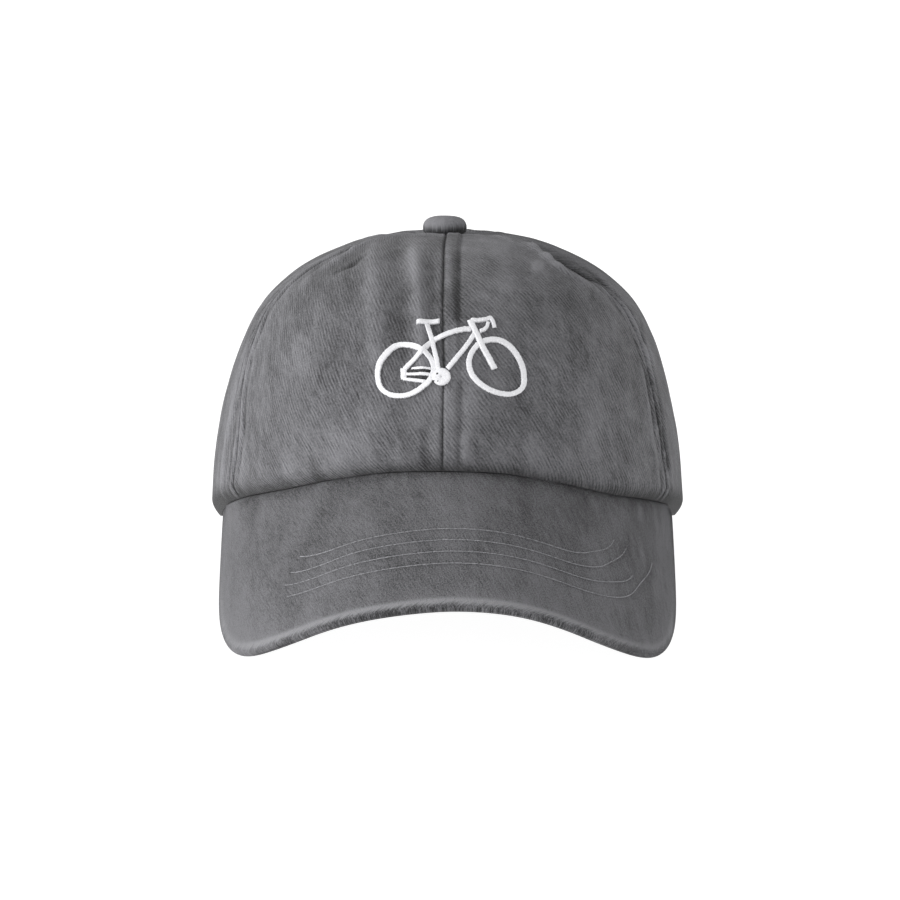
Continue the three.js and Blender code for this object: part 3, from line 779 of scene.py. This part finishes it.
def back_panel_grid(panel):
    """The same for a back panel, whose edge turns up round the arch over the strap."""
    mirrored = panel["from"] == "back_centre"
    rim_azimuth, top_azimuth = SEAMS["back_right"]
    corner = 180 - math.degrees(math.asin(ARCH["half_width"] / ARCH["crown_side"]))

    def arch_azimuth(half_width, height):
        side = float(smooth(SECTIONS["side"], row_at_height(np.array(height))))
        return 180 - math.degrees(math.asin(half_width / side))

    path = []
    for azimuth in np.linspace(rim_azimuth, corner, 80):
        path.append((azimuth, float(rim_lowest(np.array(azimuth)))))
    base = float(rim_lowest(np.array(corner)))
    for height in np.linspace(base, ARCH["base"], 12)[1:]:
        path.append((arch_azimuth(ARCH["half_width"], height), height))
    for turn in np.linspace(0, math.pi / 2, 120)[1:]:
        height = mix(ARCH["base"], ARCH["rise"], math.sin(turn))
        path.append((arch_azimuth(ARCH["half_width"] * math.cos(turn), height), height))
    path = np.array(path)
    path_rows = row_at_height(path[:, 1])
    spots = plain_crown(path[:, 0], path_rows)
    lengths = run_along(spots)
    columns = graded_both_ways(lengths[-1], fine=0.6, coarse=1.2, near=7, far=18)
    rows = graded(BACK_PANEL_LENGTH, fine=0.42, coarse=1.1, near=7, far=14)
    v, u = np.meshgrid(rows, columns, indexing="ij")
    edge_azimuth = np.interp(u * lengths[-1], lengths, path[:, 0])
    edge_row = np.interp(u * lengths[-1], lengths, path_rows)
    azimuth = mix(edge_azimuth, mix(top_azimuth, 180, u), v)
    azimuth = np.where(u == 0, mix(rim_azimuth, top_azimuth, v), azimuth)
    row = mix(edge_row, TOP_ROW, v)
    if mirrored:
        azimuth, row, u = 360 - azimuth[:, ::-1], row[:, ::-1], 1 - u[:, ::-1]
    return u, v, azimuth, row


def crown_panel(panel):
    behind = "back_centre" in (panel["from"], panel["to"])
    u, v, azimuth, row = (back_panel_grid if behind else panel_grid)(panel)
    point = plain_crown(azimuth, row)
    normal = crown_normal(azimuth, row)
    up = run_along(point)
    across = run_along(point, axis=1)

    # The cloth is cut along the front seam, and along the middle of the other panels
    grain = {panel["from"]: 0, panel["to"]: -1}.get("front_centre", u.shape[1] // 2)
    turned = -panel["turn"] * np.maximum(45 - up, 0) ** 2 / 90
    cloth_map = np.stack([across - across[:, grain][:, None] + turned, up[:, grain][:, None] + 0 * up], -1)

    # The edge: a rolled hem along the rim, and a turned edge round the arch
    curl = np.clip(1 - up / HEM["height"], 0, 1)
    on_arch = 0 * u
    if behind:
        beside = np.abs(plain_crown(azimuth[0], row[0])[:, 0]) - ARCH["half_width"]
        on_arch = np.broadcast_to(1 - smoothstep(-1.5, 1.5, beside), u.shape)
    arch_curl = np.clip(1 - up / ARCH["curl"], 0, 1)
    tuck = mix(rim_tuck(azimuth) * curl ** 2, arch_curl ** 2, on_arch)
    thick = mix(mix(CLOTH, HEM["thickness"], curl), TURNED_EDGE, on_arch)
    fade = np.minimum(1, up / HEM["height"])

    # The folds, the seams on either side, and the fine crinkles
    folds, tone_and_shade = fold_relief(point, normal)
    bulge = GORE_BULGE * np.sin(math.pi * u) * np.sin(math.pi * v)
    relief = np.zeros(u.shape)
    for off, seam, side in ((across, panel["from"], "right"), (across[:, -1:] - across, panel["to"], "left")):
        relief = relief - SEAM_GROOVE["depth"] * hump(off, 0, SEAM_GROOVE["width"])
        # Painted shade along the seam's furrow
        tone_and_shade = tone_and_shade - 0.75 * hump(off, 0, 0.5)
        if seam == "front_centre":
            if side == "right":
                relief = relief + pressed_strip(off, up, point[..., 2])
        else:
            strength = SEAM_STRENGTH.get(seam, OTHER_SEAMS)
            if seam == "front_right":
                strength = strength * (1 - 0.75 * smoothstep(0.54, 0.63, v))
            # The seam's ridges paler and its furrow darker, partly worn and partly painted highlight and
            # painted shade
            more, pale = seam_relief(off, up, len(seam) + 7.0 * (side == "left"), strength)
            relief = relief + more
            tone_and_shade = tone_and_shade + pale
    crinkle = 0.16 * uneven_at(point, 17.0) + 0.07 * uneven_at(point, 7.0, 5.0)
    crinkle = crinkle + 0.03 * uneven_at(point, 3.2, 9.0)
    hem_waves = 0.16 * uneven(azimuth / 3.4, up / 5.0, 2.0) * hump(up, 4.0, 5.0)
    relief = relief * fade + (crinkle + hem_waves) * fade
    # Painted shade: darker just above the rim under the rolled hem, and much darker at the lower corners of
    # the sides
    corner = hump(np.abs(np.where(azimuth > 180, azimuth - 360, azimuth)), 84, 22)
    tone_and_shade = tone_and_shade - (0.6 * hump(up, 0, 2.6) + 1.9 * corner * hump(up, 0, 5.5)) * (1 - on_arch)

    outer = on_ground(point + normal * (bulge + folds * fade + relief - tuck)[..., None])
    inner = on_ground(point + normal * (bulge + folds * fade - tuck - thick)[..., None])
    material = washed_twill(panel["name"].replace("crown_panel", "twill"), panel["slant"])
    piece = sewn_wall("sewn_" + panel["name"], outer, inner, material, {"tone_and_shade": tone_and_shade}, cloth_map)
    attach(piece, "root")
    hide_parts(panel["name"])


for panel in PANELS:
    crown_panel(panel)


# The peak
def peak_half(share):
    return mix(PEAK["half"], PEAK["horn_half"], smoothstep(0.8, 1, np.abs(share)))


def peak_outline(share):
    angle = np.minimum(np.abs(share), 1) * math.pi / 2
    power = 2 / np.where(share < 0, PEAK["square_left"], PEAK["square_right"])
    x = PEAK["half_width"] * np.sin(angle) ** power
    y = PEAK["start"] - (PEAK["reach"] + PEAK["start"]) * np.abs(np.cos(angle)) ** power
    sag = PEAK["sag"] * x ** 2 + PEAK["sag_growth"] * x ** 4
    sag = sag + 0.5 * hump(x * np.sign(share), -12, 20) - 0.5 * hump(x * np.sign(share), 27, 16)
    sag = sag - np.where(share < 0, 1.75, 2.2) * smoothstep(48, 78, x)
    height = PEAK["seam_height"] + PEAK["slope"] * (y + SECTIONS["front"][1]) - sag
    return np.stack([x * np.sign(share), y, height], -1)


def peak_middle(share, depth):
    """The peak's middle surface, from its hidden edge (-1) past the seam (0) to its outer edge (1)."""
    share, depth = np.broadcast_arrays(np.asarray(share, float), np.asarray(depth, float))
    azimuth = share * PEAK["azimuth"]
    start = row_at_height(rim_lowest(azimuth))
    normal = crown_normal(azimuth, start)
    seam = plain_crown(azimuth, start) - normal * rim_tuck(azimuth)[..., None]
    seam = seam - np.stack([0 * share, 0 * share, SEAM_GAP + peak_half(share)], -1)
    hidden = seam - unit(normal * (1, 1, 0)) * (np.maximum(-depth, 0) * PEAK["tuck_in"])[..., None]
    ahead = np.maximum(depth, 0)[..., None]
    out = mix(seam, peak_outline(share), ahead) + (0, 0, 1) * (PEAK["belly"] * 4 * ahead * (1 - ahead))
    return np.where(depth[..., None] < 0, hidden, out)


def peak_columns(count):
    """Shares from the left horn to the right one, evenly spaced along the edge."""
    w = np.linspace(0, 1, count)
    right = w ** 1.5 / (w ** 1.5 + (1 - w) ** 1.5)
    return np.concatenate([-right[:0:-1], right])


PEAK_EDGE = peak_outline(peak_columns(500))


def edge_distance(points):
    """Distance of each point from the peak's outer edge."""
    flat = points.reshape(-1, 3)
    nearest = [np.linalg.norm(PEAK_EDGE - spot, axis=1).min() for spot in flat]
    return np.array(nearest).reshape(points.shape[:-1])


def peak_normal(share, depth):
    ahead = np.maximum(depth, 0.05)
    along = peak_middle(share + 0.002, depth) - peak_middle(share - 0.002, depth)
    out = peak_middle(share, ahead) - peak_middle(share, ahead - 0.04)
    return np.where((depth > 0)[..., None], unit(np.cross(out, along)), (0.0, 0.0, 1.0))


def row_inset(row, share):
    """Distance of a row of stitching from the edge, drawn a little closer towards both ends."""
    to_left = smoothstep(-0.18, -0.44, share)
    to_right = smoothstep(row["end"] - 0.15, row["end"] + 0.02, share)
    return row["inset"] - row["left"] * to_left - row["right"] * to_right


def quilting(share, inset):
    """The furrows in which the rows of stitching lie, with the cloth swelling between them."""
    relief = np.zeros(np.shape(share))
    for row in PEAK_ROWS:
        away = inset - row_inset(row, share)
        strength = 0.35 + 0.65 * smoothstep(row["start"] - 0.06, row["start"] + 0.04, share)
        strength = strength * smoothstep(-0.8, -0.6, share)
        strength = strength * (1 - smoothstep(row["end"] - 0.02, row["end"] + 0.03, share))
        relief = relief + strength * (0.07 * hump(np.abs(away), 3.2, 1.9) - 0.13 * hump(away, 0, 0.8))
    return relief


# The length over which the peak's rows of points are spread, and their last steps to its rolled edge
PEAK_LENGTH = 95.0
ROLLED_STEPS = (0.024, 0.018, 0.013, 0.009, 0.006, 0.0035, 0.0015, 0.0004, 0)


def peak_piece():
    shares = peak_columns(150)
    ahead = marched(PEAK_LENGTH, lambda out: mix(0.55, 0.95, float(
        smoothstep(60, 72, out) + smoothstep(30, 18, out))))[1:]
    depths = np.concatenate([[-1, -0.5, 0], ahead[ahead < 0.972], 1 - np.array(ROLLED_STEPS)])
    depth, share = np.meshgrid(depths, shares, indexing="ij")
    middle = peak_middle(share, depth)
    normal = peak_normal(share, depth)
    reach = np.linalg.norm(peak_middle(share, 1.0) - peak_middle(share, 0.0), axis=-1)
    to_edge = np.maximum(1 - depth, 0) * reach / PEAK["half"]
    half = peak_half(share) * np.sqrt(1 - np.maximum(1 - to_edge, 0) ** 2)
    across = run_along(middle, axis=1)
    from_middle = across - across[:, across.shape[1] // 2, None]
    cloth_map = np.stack([from_middle, middle[..., 1] * 0.8 + 120], -1)

    # The quilting, the unevenness of the cloth and its creases, none of them on the rolled edge
    inset = edge_distance(middle)
    open_cloth = smoothstep(0.0, 0.06, depth) * smoothstep(0, 2.5, inset)
    relief = quilting(share, inset) + 0.2 * uneven_at(middle, 21.0) + 0.07 * uneven_at(middle, 8.0, 3.0)
    creases = np.zeros(share.shape)
    for across_from, back_from, across_to, back_to in PEAK_CREASES:
        off = line_distance(middle[..., 0], middle[..., 1], (across_from, back_from), (across_to, back_to))
        creases = creases + hump(off, 0, 0.9)
    relief = (relief + 0.03 * uneven_at(middle, 3.0, 6.0) + 0.15 * creases) * open_cloth

    # Where the edge is brushed pale and where its very edge gets painted shade, and the cloth's tone and
    # shade: paler swellings and painted shade in the quilting's furrows and at the seam under the crown,
    # paler towards the edge on the left and towards the horns, and pale creases
    brushed = mix(1.0, 0.6, smoothstep(0.1, 0.5, share)) * (1 - smoothstep(0.78, 0.92, np.abs(share)))
    brushed = brushed * mix(1.0, 0.6, smoothstep(-0.45, -0.7, share))
    soft = 0.8 * smoothstep(30, 6, inset) * smoothstep(-0.25, -0.7, share)
    soft = soft + 0.3 * smoothstep(30, 8, inset) * smoothstep(1.5, 6, inset)
    soft = soft + 0.12 * smoothstep(0.35, 0.7, np.abs(share))
    # Paler swellings, with painted shade in the furrows and under the crown's hem
    tone_and_shade = 1.2 * quilting(share, inset) - 0.4 * hump(depth * reach, 0, 4.0) + soft * 0.75 + 0.5 * creases
    shaded = mix(1.0, 0.1, smoothstep(-0.5, -0.72, share))
    values = {"tone_and_shade": tone_and_shade, "along": across, "inset": inset, "brushed": brushed, "shaded": shaded}

    top = on_ground(middle + normal * (half + relief)[..., None])
    under = on_ground(middle - normal * (half + 0.4 * relief)[..., None])
    material = washed_twill("twill_peak", 60, line=1.2, lines=0.3, hair=1.25, fine=1.9, grain=2.4, level=0.53,
                            edge=True)
    values = {label: grid[:, ::-1] for label, grid in values.items()}
    piece = sewn_wall("sewn_peak", top[:, ::-1], under[:, ::-1], material, values, cloth_map[:, ::-1])
    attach(piece, "root")
    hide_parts("peak")


peak_piece()


# Stitches
STITCH_SIDES = 6
STITCH_PROFILE = ((-0.5, 0.55), (-0.38, 0.95), (0.0, 1.0), (0.38, 0.95), (0.5, 0.55))
STITCH_SINK = 0.06


def stitches(name, rows, material, length=2.5, gap=0.7, width=0.42, height=0.3):
    """Rows of stitches: each row is a line of points with the outward normals of the cloth there."""
    points = []
    faces = []
    for line, normals in rows:
        lengths = run_along(line)
        for k in range(int(lengths[-1] // (length + gap))):
            start = len(points)
            middle = (k + 0.5) * (length + gap)
            for along, swell in STITCH_PROFILE:
                at = middle + along * length
                here = on_line(at, lengths, line)
                out = on_line(at, lengths, normals)
                course = on_line(at + 0.2, lengths, line) - on_line(at - 0.2, lengths, line)
                side = unit(np.cross(out, course))
                dip = -0.07 * (2 * along) ** 2
                for turn in range(STITCH_SIDES):
                    angle = 2 * math.pi * turn / STITCH_SIDES
                    offset = side * (width / 2 * swell * math.cos(angle))
                    lift = out * (height / 2 * swell * math.sin(angle) + dip)
                    points.append(here + offset + lift)
            for ring in range(len(STITCH_PROFILE) - 1):
                for turn in range(STITCH_SIDES):
                    a = start + ring * STITCH_SIDES + turn
                    b = start + ring * STITCH_SIDES + (turn + 1) % STITCH_SIDES
                    faces.append((a, a + STITCH_SIDES, b + STITCH_SIDES, b))
            faces.append(tuple(start + turn for turn in range(STITCH_SIDES)))
            last = start + (len(STITCH_PROFILE) - 1) * STITCH_SIDES
            faces.append(tuple(last + turn for turn in reversed(range(STITCH_SIDES))))
    piece = new_piece(name, place(np.array(points)), faces, material)
    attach(piece, "root")


def peak_row_line(row):
    """The line of a row of stitching over the peak, and the normals along it."""
    shares = peak_columns(400)
    shares = shares[(shares > row["start"]) & (shares < row["end"])]
    depths = np.linspace(0.15, 0.95, 60)
    depth, share = np.meshgrid(depths, shares, indexing="ij")
    inset = edge_distance(peak_middle(share, depth))
    wanted = row_inset(row, shares)
    at = np.array([np.interp(-wanted[i], -inset[:, i], depths) for i in range(len(shares))])
    normal = peak_normal(shares, at)
    line = peak_middle(shares, at) + normal * (peak_half(shares) - STITCH_SINK)[..., None]
    return line, normal


stitches("peak_stitching", [peak_row_line(row) for row in PEAK_ROWS], THREAD_PALE,
         length=2.75, gap=0.05, width=0.5, height=0.34)


# The button
def button_piece():
    radius, rise = BUTTON["radius"], BUTTON["rise"]
    seat = SECTIONS["height"][-1] + BUTTON["lift"]
    turns = np.linspace(0, 2 * math.pi, 96, endpoint=False)

    # Its profile: a flat foot, a rounded edge and a dome
    profile = []
    for t in np.linspace(0, 1, 7):
        profile.append((mix(radius - 2.6, radius - 0.5, t), seat + 0.1 * t))
    for angle in np.linspace(0, math.pi / 2, 9)[1:]:
        profile.append((radius - 0.5 + 0.5 * math.sin(angle), seat + 0.1 + 1.9 * (1 - math.cos(angle))))
    for angle in np.linspace(0, math.pi / 2, 30)[1:-1]:
        profile.append((radius * math.cos(angle) ** 0.62, seat + 2 + (rise - 2) * math.sin(angle) ** 0.9))
    profile.append((0.25, seat + rise))

    r, z = np.array(profile).T
    ring = np.stack([r[:, None] * np.cos(turns), r[:, None] * np.sin(turns), z[:, None] + 0 * turns], -1)
    soft = 0.09 * uneven_at(ring, 4.0) + 0.05 * uneven_at(ring, 1.8, 4.0)
    pleats = 0.12 * np.cos(turns * 12 + 0.6 * np.sin(turns * 3)) * smoothstep(0.55, 1.0, r / radius)[:, None]
    out = unit(ring - (0, 0, seat))
    outer = ring + out * (soft + pleats * 0.6)[..., None]
    inner = ring - out * 0.9
    shift = np.array((BUTTON["x"], 0, 0))
    # Painted light and shade: paler on the pleats' crests and towards the top, painted shade in the pleats'
    # hollows, at the button's foot on the crown and towards its right side
    tone_and_shade = 0.7 * pleats + 0.25 * smoothstep(seat + 1, seat + rise, ring[..., 2])
    tone_and_shade = tone_and_shade - 2.2 * hump(ring[..., 2], seat + 0.3, 2.2) - 0.8 * smoothstep(0, radius, ring[..., 0])
    cloth_map = ring[..., :2] * 1.2
    material = washed_twill("twill_button", 40, line=1.0, lines=0.5, hair=0.5, grain=1.4, level=1.1)
    piece = sewn_wall("sewn_top_button", outer + shift, inner + shift, material, {"tone_and_shade": tone_and_shade}, cloth_map,
                      closed=True)
    cap_faces(piece, len(profile), len(turns))
    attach(piece, "root")
    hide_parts("top_button")


def cap_faces(piece, rows, columns):
    """Close the crown of a dome over its last ring, on both skins."""
    mesh = bmesh.new()
    mesh.from_mesh(piece.data)
    mesh.verts.ensure_lookup_table()
    size = rows * columns
    ring = [mesh.verts[size - columns + i] for i in range(columns)]
    inside = [mesh.verts[2 * size - columns + i] for i in range(columns)]
    both = set(ring + inside)
    doomed = [face for face in mesh.faces if both.issuperset(face.verts)]
    bmesh.ops.delete(mesh, geom=doomed, context="FACES_ONLY")
    mesh.faces.new(ring).smooth = True
    mesh.faces.new(inside[::-1]).smooth = True
    mesh.to_mesh(piece.data)
    mesh.free()


button_piece()


# The bicycle
THREAD_PITCH = 0.34


def on_front(x, y):
    """Points of the front of the crown, placed in the plane of the cloth, and their normals."""
    row = row_at_height(MOTIF["height"] + y * MOTIF["upright"])
    azimuth = np.degrees(np.arcsin((MOTIF["x"] + x) / smooth(SECTIONS["side"], row)))
    point = plain_crown(azimuth, row)
    normal = crown_normal(azimuth, row)
    depth = fold_relief(point, normal)[0]
    return point + normal * (depth + GORE_BULGE)[..., None], normal


def satin_band(path, stroke, relief, closed, seed):
    """A raised band of satin stitches across a path, with each thread as its own ridge."""
    path = np.array(path, float)
    if closed:
        path = np.concatenate([path, path[:1]])
    lengths = run_along(path)
    threads = max(int(lengths[-1] / THREAD_PITCH), 3)
    rings = threads * 3 + (0 if closed else 1)
    at = np.arange(rings) / (threads * 3) * lengths[-1]
    line = on_line(at, lengths, path)
    reach = 0.35
    beside = [at - reach, at + reach]
    if closed:
        beside = [there % lengths[-1] for there in beside]
    before, after = (on_line(there, lengths, path) for there in beside)
    along = unit(after - before)
    side = np.stack([-along[:, 1], along[:, 0]], -1)
    rng = np.random.default_rng(seed)
    number = np.arange(rings) // 3
    ragged = rng.normal(0, 0.045, (threads + 1, 2))[number]
    swell = np.where(np.arange(rings) % 3 == 0, 0.0, 1.0)
    # Each thread's tone differs a little at random, with painted shade in the dips between threads
    brightness = rng.uniform(-0.05, 0.05, threads + 1)[number] + 0.10 * (swell - 0.7)
    across = np.sin(np.linspace(-math.pi / 2, math.pi / 2, 9))
    slip = rng.normal(0, 0.025, threads + 1)[number]
    half = stroke / 2 + np.where(across[None, :] < 0, ragged[:, :1], ragged[:, 1:]) * np.abs(across)
    offset = across * half
    slant = 0.10 * across[None, :]
    x = line[:, :1] + side[:, :1] * offset + along[:, :1] * slant
    y = line[:, 1:] + side[:, 1:] * offset + along[:, 1:] * slant
    point, normal = on_front(x, y)
    dome = np.sqrt(np.maximum(1 - np.abs(across) ** 6, 0))
    lift = 0.14 + relief * dome * (0.93 + 0.07 * swell[:, None] + slip[:, None])
    ends = np.ones(rings)
    if not closed:
        near = np.minimum(at, lengths[-1] - at)
        ends = np.sqrt(np.clip(near / 0.5, 0.04, 1))
    top = point + normal * (lift * ends[:, None])[..., None]
    base = point - normal * 0.5
    # Painted shade where the band rounds down at its sides
    bright = brightness[:, None] + 0 * lift - 0.15 * np.abs(across) ** 6
    return top.swapaxes(0, 1), base.swapaxes(0, 1), bright.T, closed


def straight_bands(strokes, seed):
    for number, stroke in enumerate(strokes):
        yield satin_band(stroke["path"], stroke["stroke"], stroke["relief"], False, seed + number)


def wheel_bands():
    angles = np.linspace(0, 2 * math.pi, 90, endpoint=False)
    for seed, wheel in enumerate(WHEELS):
        steps = len(wheel["radii"])
        rounds = wheel["radii"] * 3
        reach = smooth(rounds, angles / (2 * math.pi) * steps + steps)
        loop = np.stack([wheel["x"] + reach * np.cos(angles), wheel["y"] + reach * np.sin(angles)], -1)
        yield satin_band(loop, wheel["stroke"], wheel["relief"], True, seed)


def embroidered(name, bands, material):
    """One piece of embroidery from its bands of satin stitches."""
    points, faces, tone_and_shade = [], [], []
    for top, base, bright, closed in bands:
        start = len(points)
        points.extend(two_skins(top, base))
        tone_and_shade.extend(np.concatenate([bright.ravel(), 0 * bright.ravel()]))
        for face in wall_faces(*bright.shape, closed):
            faces.append([start + corner for corner in face])
    piece = new_piece(name, place(np.array(points)), faces, material, {"tone_and_shade": np.array(tone_and_shade)})
    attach(piece, "root")
    return piece


white_bands = [*wheel_bands(), *straight_bands(TUBES, 40)]
bicycle = embroidered("satin_bicycle", white_bands, THREAD_WHITE)
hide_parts("bicycle_embroidery")
# The strokes of painted shade between the chain's bars and on its disc
embroidered("painted_shade_marks", straight_bands(PAINTED_SHADE_MARKS, 70), THREAD_PAINTED_SHADE)


# The back strap and its slide
def strap_point(azimuth, height, inset):
    row = row_at_height(height + ground_height(plain_crown(azimuth, 1.0)[..., 1]))
    normal = crown_normal(azimuth, row)
    return plain_crown(azimuth, row) - normal * np.asarray(inset)[..., None], normal


def strap_piece():
    azimuths = np.linspace(STRAP["end_azimuth"], 360 - STRAP["end_azimuth"], 110)
    heights = np.linspace(STRAP["bottom"], STRAP["top"], 26)
    height, azimuth = np.meshgrid(heights, azimuths, indexing="ij")
    to_edge = np.minimum(height - STRAP["bottom"], STRAP["top"] - height)
    pinch = 0.6 * (1 - np.minimum(to_edge / 0.9, 1)) ** 2
    furrow = 0.16 * hump(to_edge, 2.2, 0.7)
    ripple = 0.05 * uneven(azimuth / 1.5, height / 4.0, 8.0)
    outer, _ = strap_point(azimuth, height, STRAP["inset"] + pinch + furrow - ripple)
    inner, _ = strap_point(azimuth, height, STRAP["inset"] + STRAP["thickness"] - pinch)
    across = np.radians(azimuth - 180) * MEAN_RADIUS
    cloth_map = np.stack([across, height], -1)
    material = washed_twill("twill_strap", 60, lines=0.9)
    # Paler along the worn edges, with painted shade in the furrows beside the stitching
    tone_and_shade = 0.6 * hump(to_edge, 0, 0.9) - 0.5 * hump(to_edge, 2.2, 0.7)
    piece = sewn_wall("sewn_back_strap", outer, inner, material, {"tone_and_shade": tone_and_shade}, cloth_map)
    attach(piece, "root")
    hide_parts("back_strap")


def strap_rows():
    azimuths = np.linspace(STRAP["end_azimuth"] + 1, 359 - STRAP["end_azimuth"], 200)
    for height in (STRAP["bottom"] + 2.2, STRAP["top"] - 2.2):
        yield strap_point(azimuths, height + 0 * azimuths, STRAP["inset"] + 0.1 + 0 * azimuths)


strap_piece()
stitches("strap_stitching", list(strap_rows()), THREAD_GREY, length=2.2, gap=0.6)


def slide_piece():
    """A rectangular metal frame round the strap, its edges rounded."""
    middle = (STRAP["bottom"] + STRAP["top"]) / 2
    hole_depth = STRAP["thickness"] + 2 * SLIDE["clearance"]
    hole_height = STRAP["top"] - STRAP["bottom"] + 2 * SLIDE["clearance"]
    spot, normal = strap_point(np.array(SLIDE["azimuth"]), np.array(middle),
                               STRAP["inset"] + STRAP["thickness"] / 2)
    depth, height = hole_depth + 2 * SLIDE["wall"], hole_height + 2 * SLIDE["bar"]
    size = Vector((SLIDE["length"], depth, height)) / 1000
    bpy.ops.object.select_all(action="DESELECT")
    bpy.ops.mesh.primitive_cube_add(size=1)
    piece = bpy.context.active_object
    piece.name = piece.data.name = "slide_frame"
    piece.data.transform(Matrix.Diagonal((*size, 1)))
    bpy.ops.object.mode_set(mode="EDIT")
    bpy.ops.mesh.select_mode(type="FACE")

    # The hole for the strap: an inset face at either end, drawn to the hole's size, and its walls between
    shell = bmesh.from_edit_mesh(piece.data)
    for face in shell.faces:
        face.select_set(abs(face.normal.x) > 0.9)
    bmesh.update_edit_mesh(piece.data)
    bpy.ops.mesh.inset(thickness=0.001)
    shell = bmesh.from_edit_mesh(piece.data)
    for vert in shell.verts:
        if vert.select:
            vert.co.z = math.copysign(hole_height / 2000, vert.co.z)
            vert.co.y = math.copysign(hole_depth / 2000, vert.co.y)
    bmesh.update_edit_mesh(piece.data)
    bpy.ops.mesh.bridge_edge_loops()
    bpy.ops.object.mode_set(mode="OBJECT")

    soften = piece.modifiers.new("soften", "BEVEL")
    soften.width = SLIDE["rounding"] / 1000
    soften.segments = 3
    bpy.ops.object.modifier_apply(modifier="soften")
    bpy.ops.object.shade_smooth_by_angle(angle=math.radians(40))
    turn = math.atan2(normal[1], normal[0]) - math.pi / 2
    tilt = math.asin(normal[2])
    here = Matrix.Rotation(turn, 4, "Z") @ Matrix.Rotation(tilt, 4, "X")
    lean = Matrix.Translation(Vector(place(spot))) @ Matrix.Rotation(-LEAN, 4, "X") @ here
    piece.data.transform(lean)
    piece.data.materials.append(STEEL)
    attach(piece, "root")
    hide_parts("strap_clasp")


slide_piece()


# The floor, the light and the camera
def floor_piece():
    """A plain white floor that glows and so lights up the cap evenly, its glow dimmed under the cap's hollow
    as a painted shadow, so that it doesn't light the cap from below there.
    """
    finish = Finish("pale_floor")
    x, y = (Level(finish, part) for part in finish.node(
        "ShaderNodeSeparateXYZ", {}, {0: finish.coordinates("Object")}).outputs[:2])
    away = (x ** 2.0 + (y - FLOOR["shaded_y"]) ** 2.0) ** 0.5 / FLOOR["shaded_reach"]
    # Painted shadow: the floor's glow fades out under the cap's hollow
    under = 1.0 - away.over(0.55, 1.15)
    finish.fill(finish.shader, {
        "Base Color": (0.3, 0.3, 0.3, 1),
        "Roughness": 1.0,
        "Specular IOR Level": 0.0,
        "Emission Color": finish.tinted(under, (1, 1, 1), (0.05, 0.05, 0.05)),
        "Emission Strength": FLOOR["glow"],
    })
    half = FLOOR["half"]
    corners = [(-half, -half, 0), (half, -half, 0), (half, half, 0), (-half, half, 0)]
    floor = new_piece("studio_floor", corners, [(0, 1, 2, 3)], finish.material)


def soft_light(light):
    lamp = bpy.data.lights.new(light["name"], "AREA")
    lamp.shape = "DISK"
    lamp.size = light["size"]
    lamp.energy = light["power"]
    holder = bpy.data.objects.new(light["name"], lamp)
    bpy.context.collection.objects.link(holder)
    holder.location = light["at"]
    holder.rotation_euler = (Vector(LIT_POINT) - Vector(light["at"])).to_track_quat("-Z", "Y").to_euler()


def studio():
    world = bpy.data.worlds.new("studio")
    world.use_nodes = True
    around = world.node_tree.nodes["Background"].inputs
    around["Color"].default_value = (1, 1, 1, 1)
    around["Strength"].default_value = SURROUND
    bpy.context.scene.world = world
    bpy.context.scene.view_settings.view_transform = "Standard"
    for light in LIGHTS:
        soft_light(light)


def photo_camera():
    elevation = math.radians(CAMERA["elevation"])
    lens = bpy.data.cameras.new("photo_camera")
    lens.lens = CAMERA["lens"]
    lens.sensor_width = 36
    camera = bpy.data.objects.new("photo_camera", lens)
    bpy.context.collection.objects.link(camera)
    back = Vector((0, -math.cos(elevation), math.sin(elevation)))
    camera.location = Vector(CAMERA["target"]) + back * CAMERA["distance"]
    camera.rotation_euler = (-back).to_track_quat("-Z", "Y").to_euler()
    bpy.context.scene.camera = camera


floor_piece()
studio()
photo_camera()
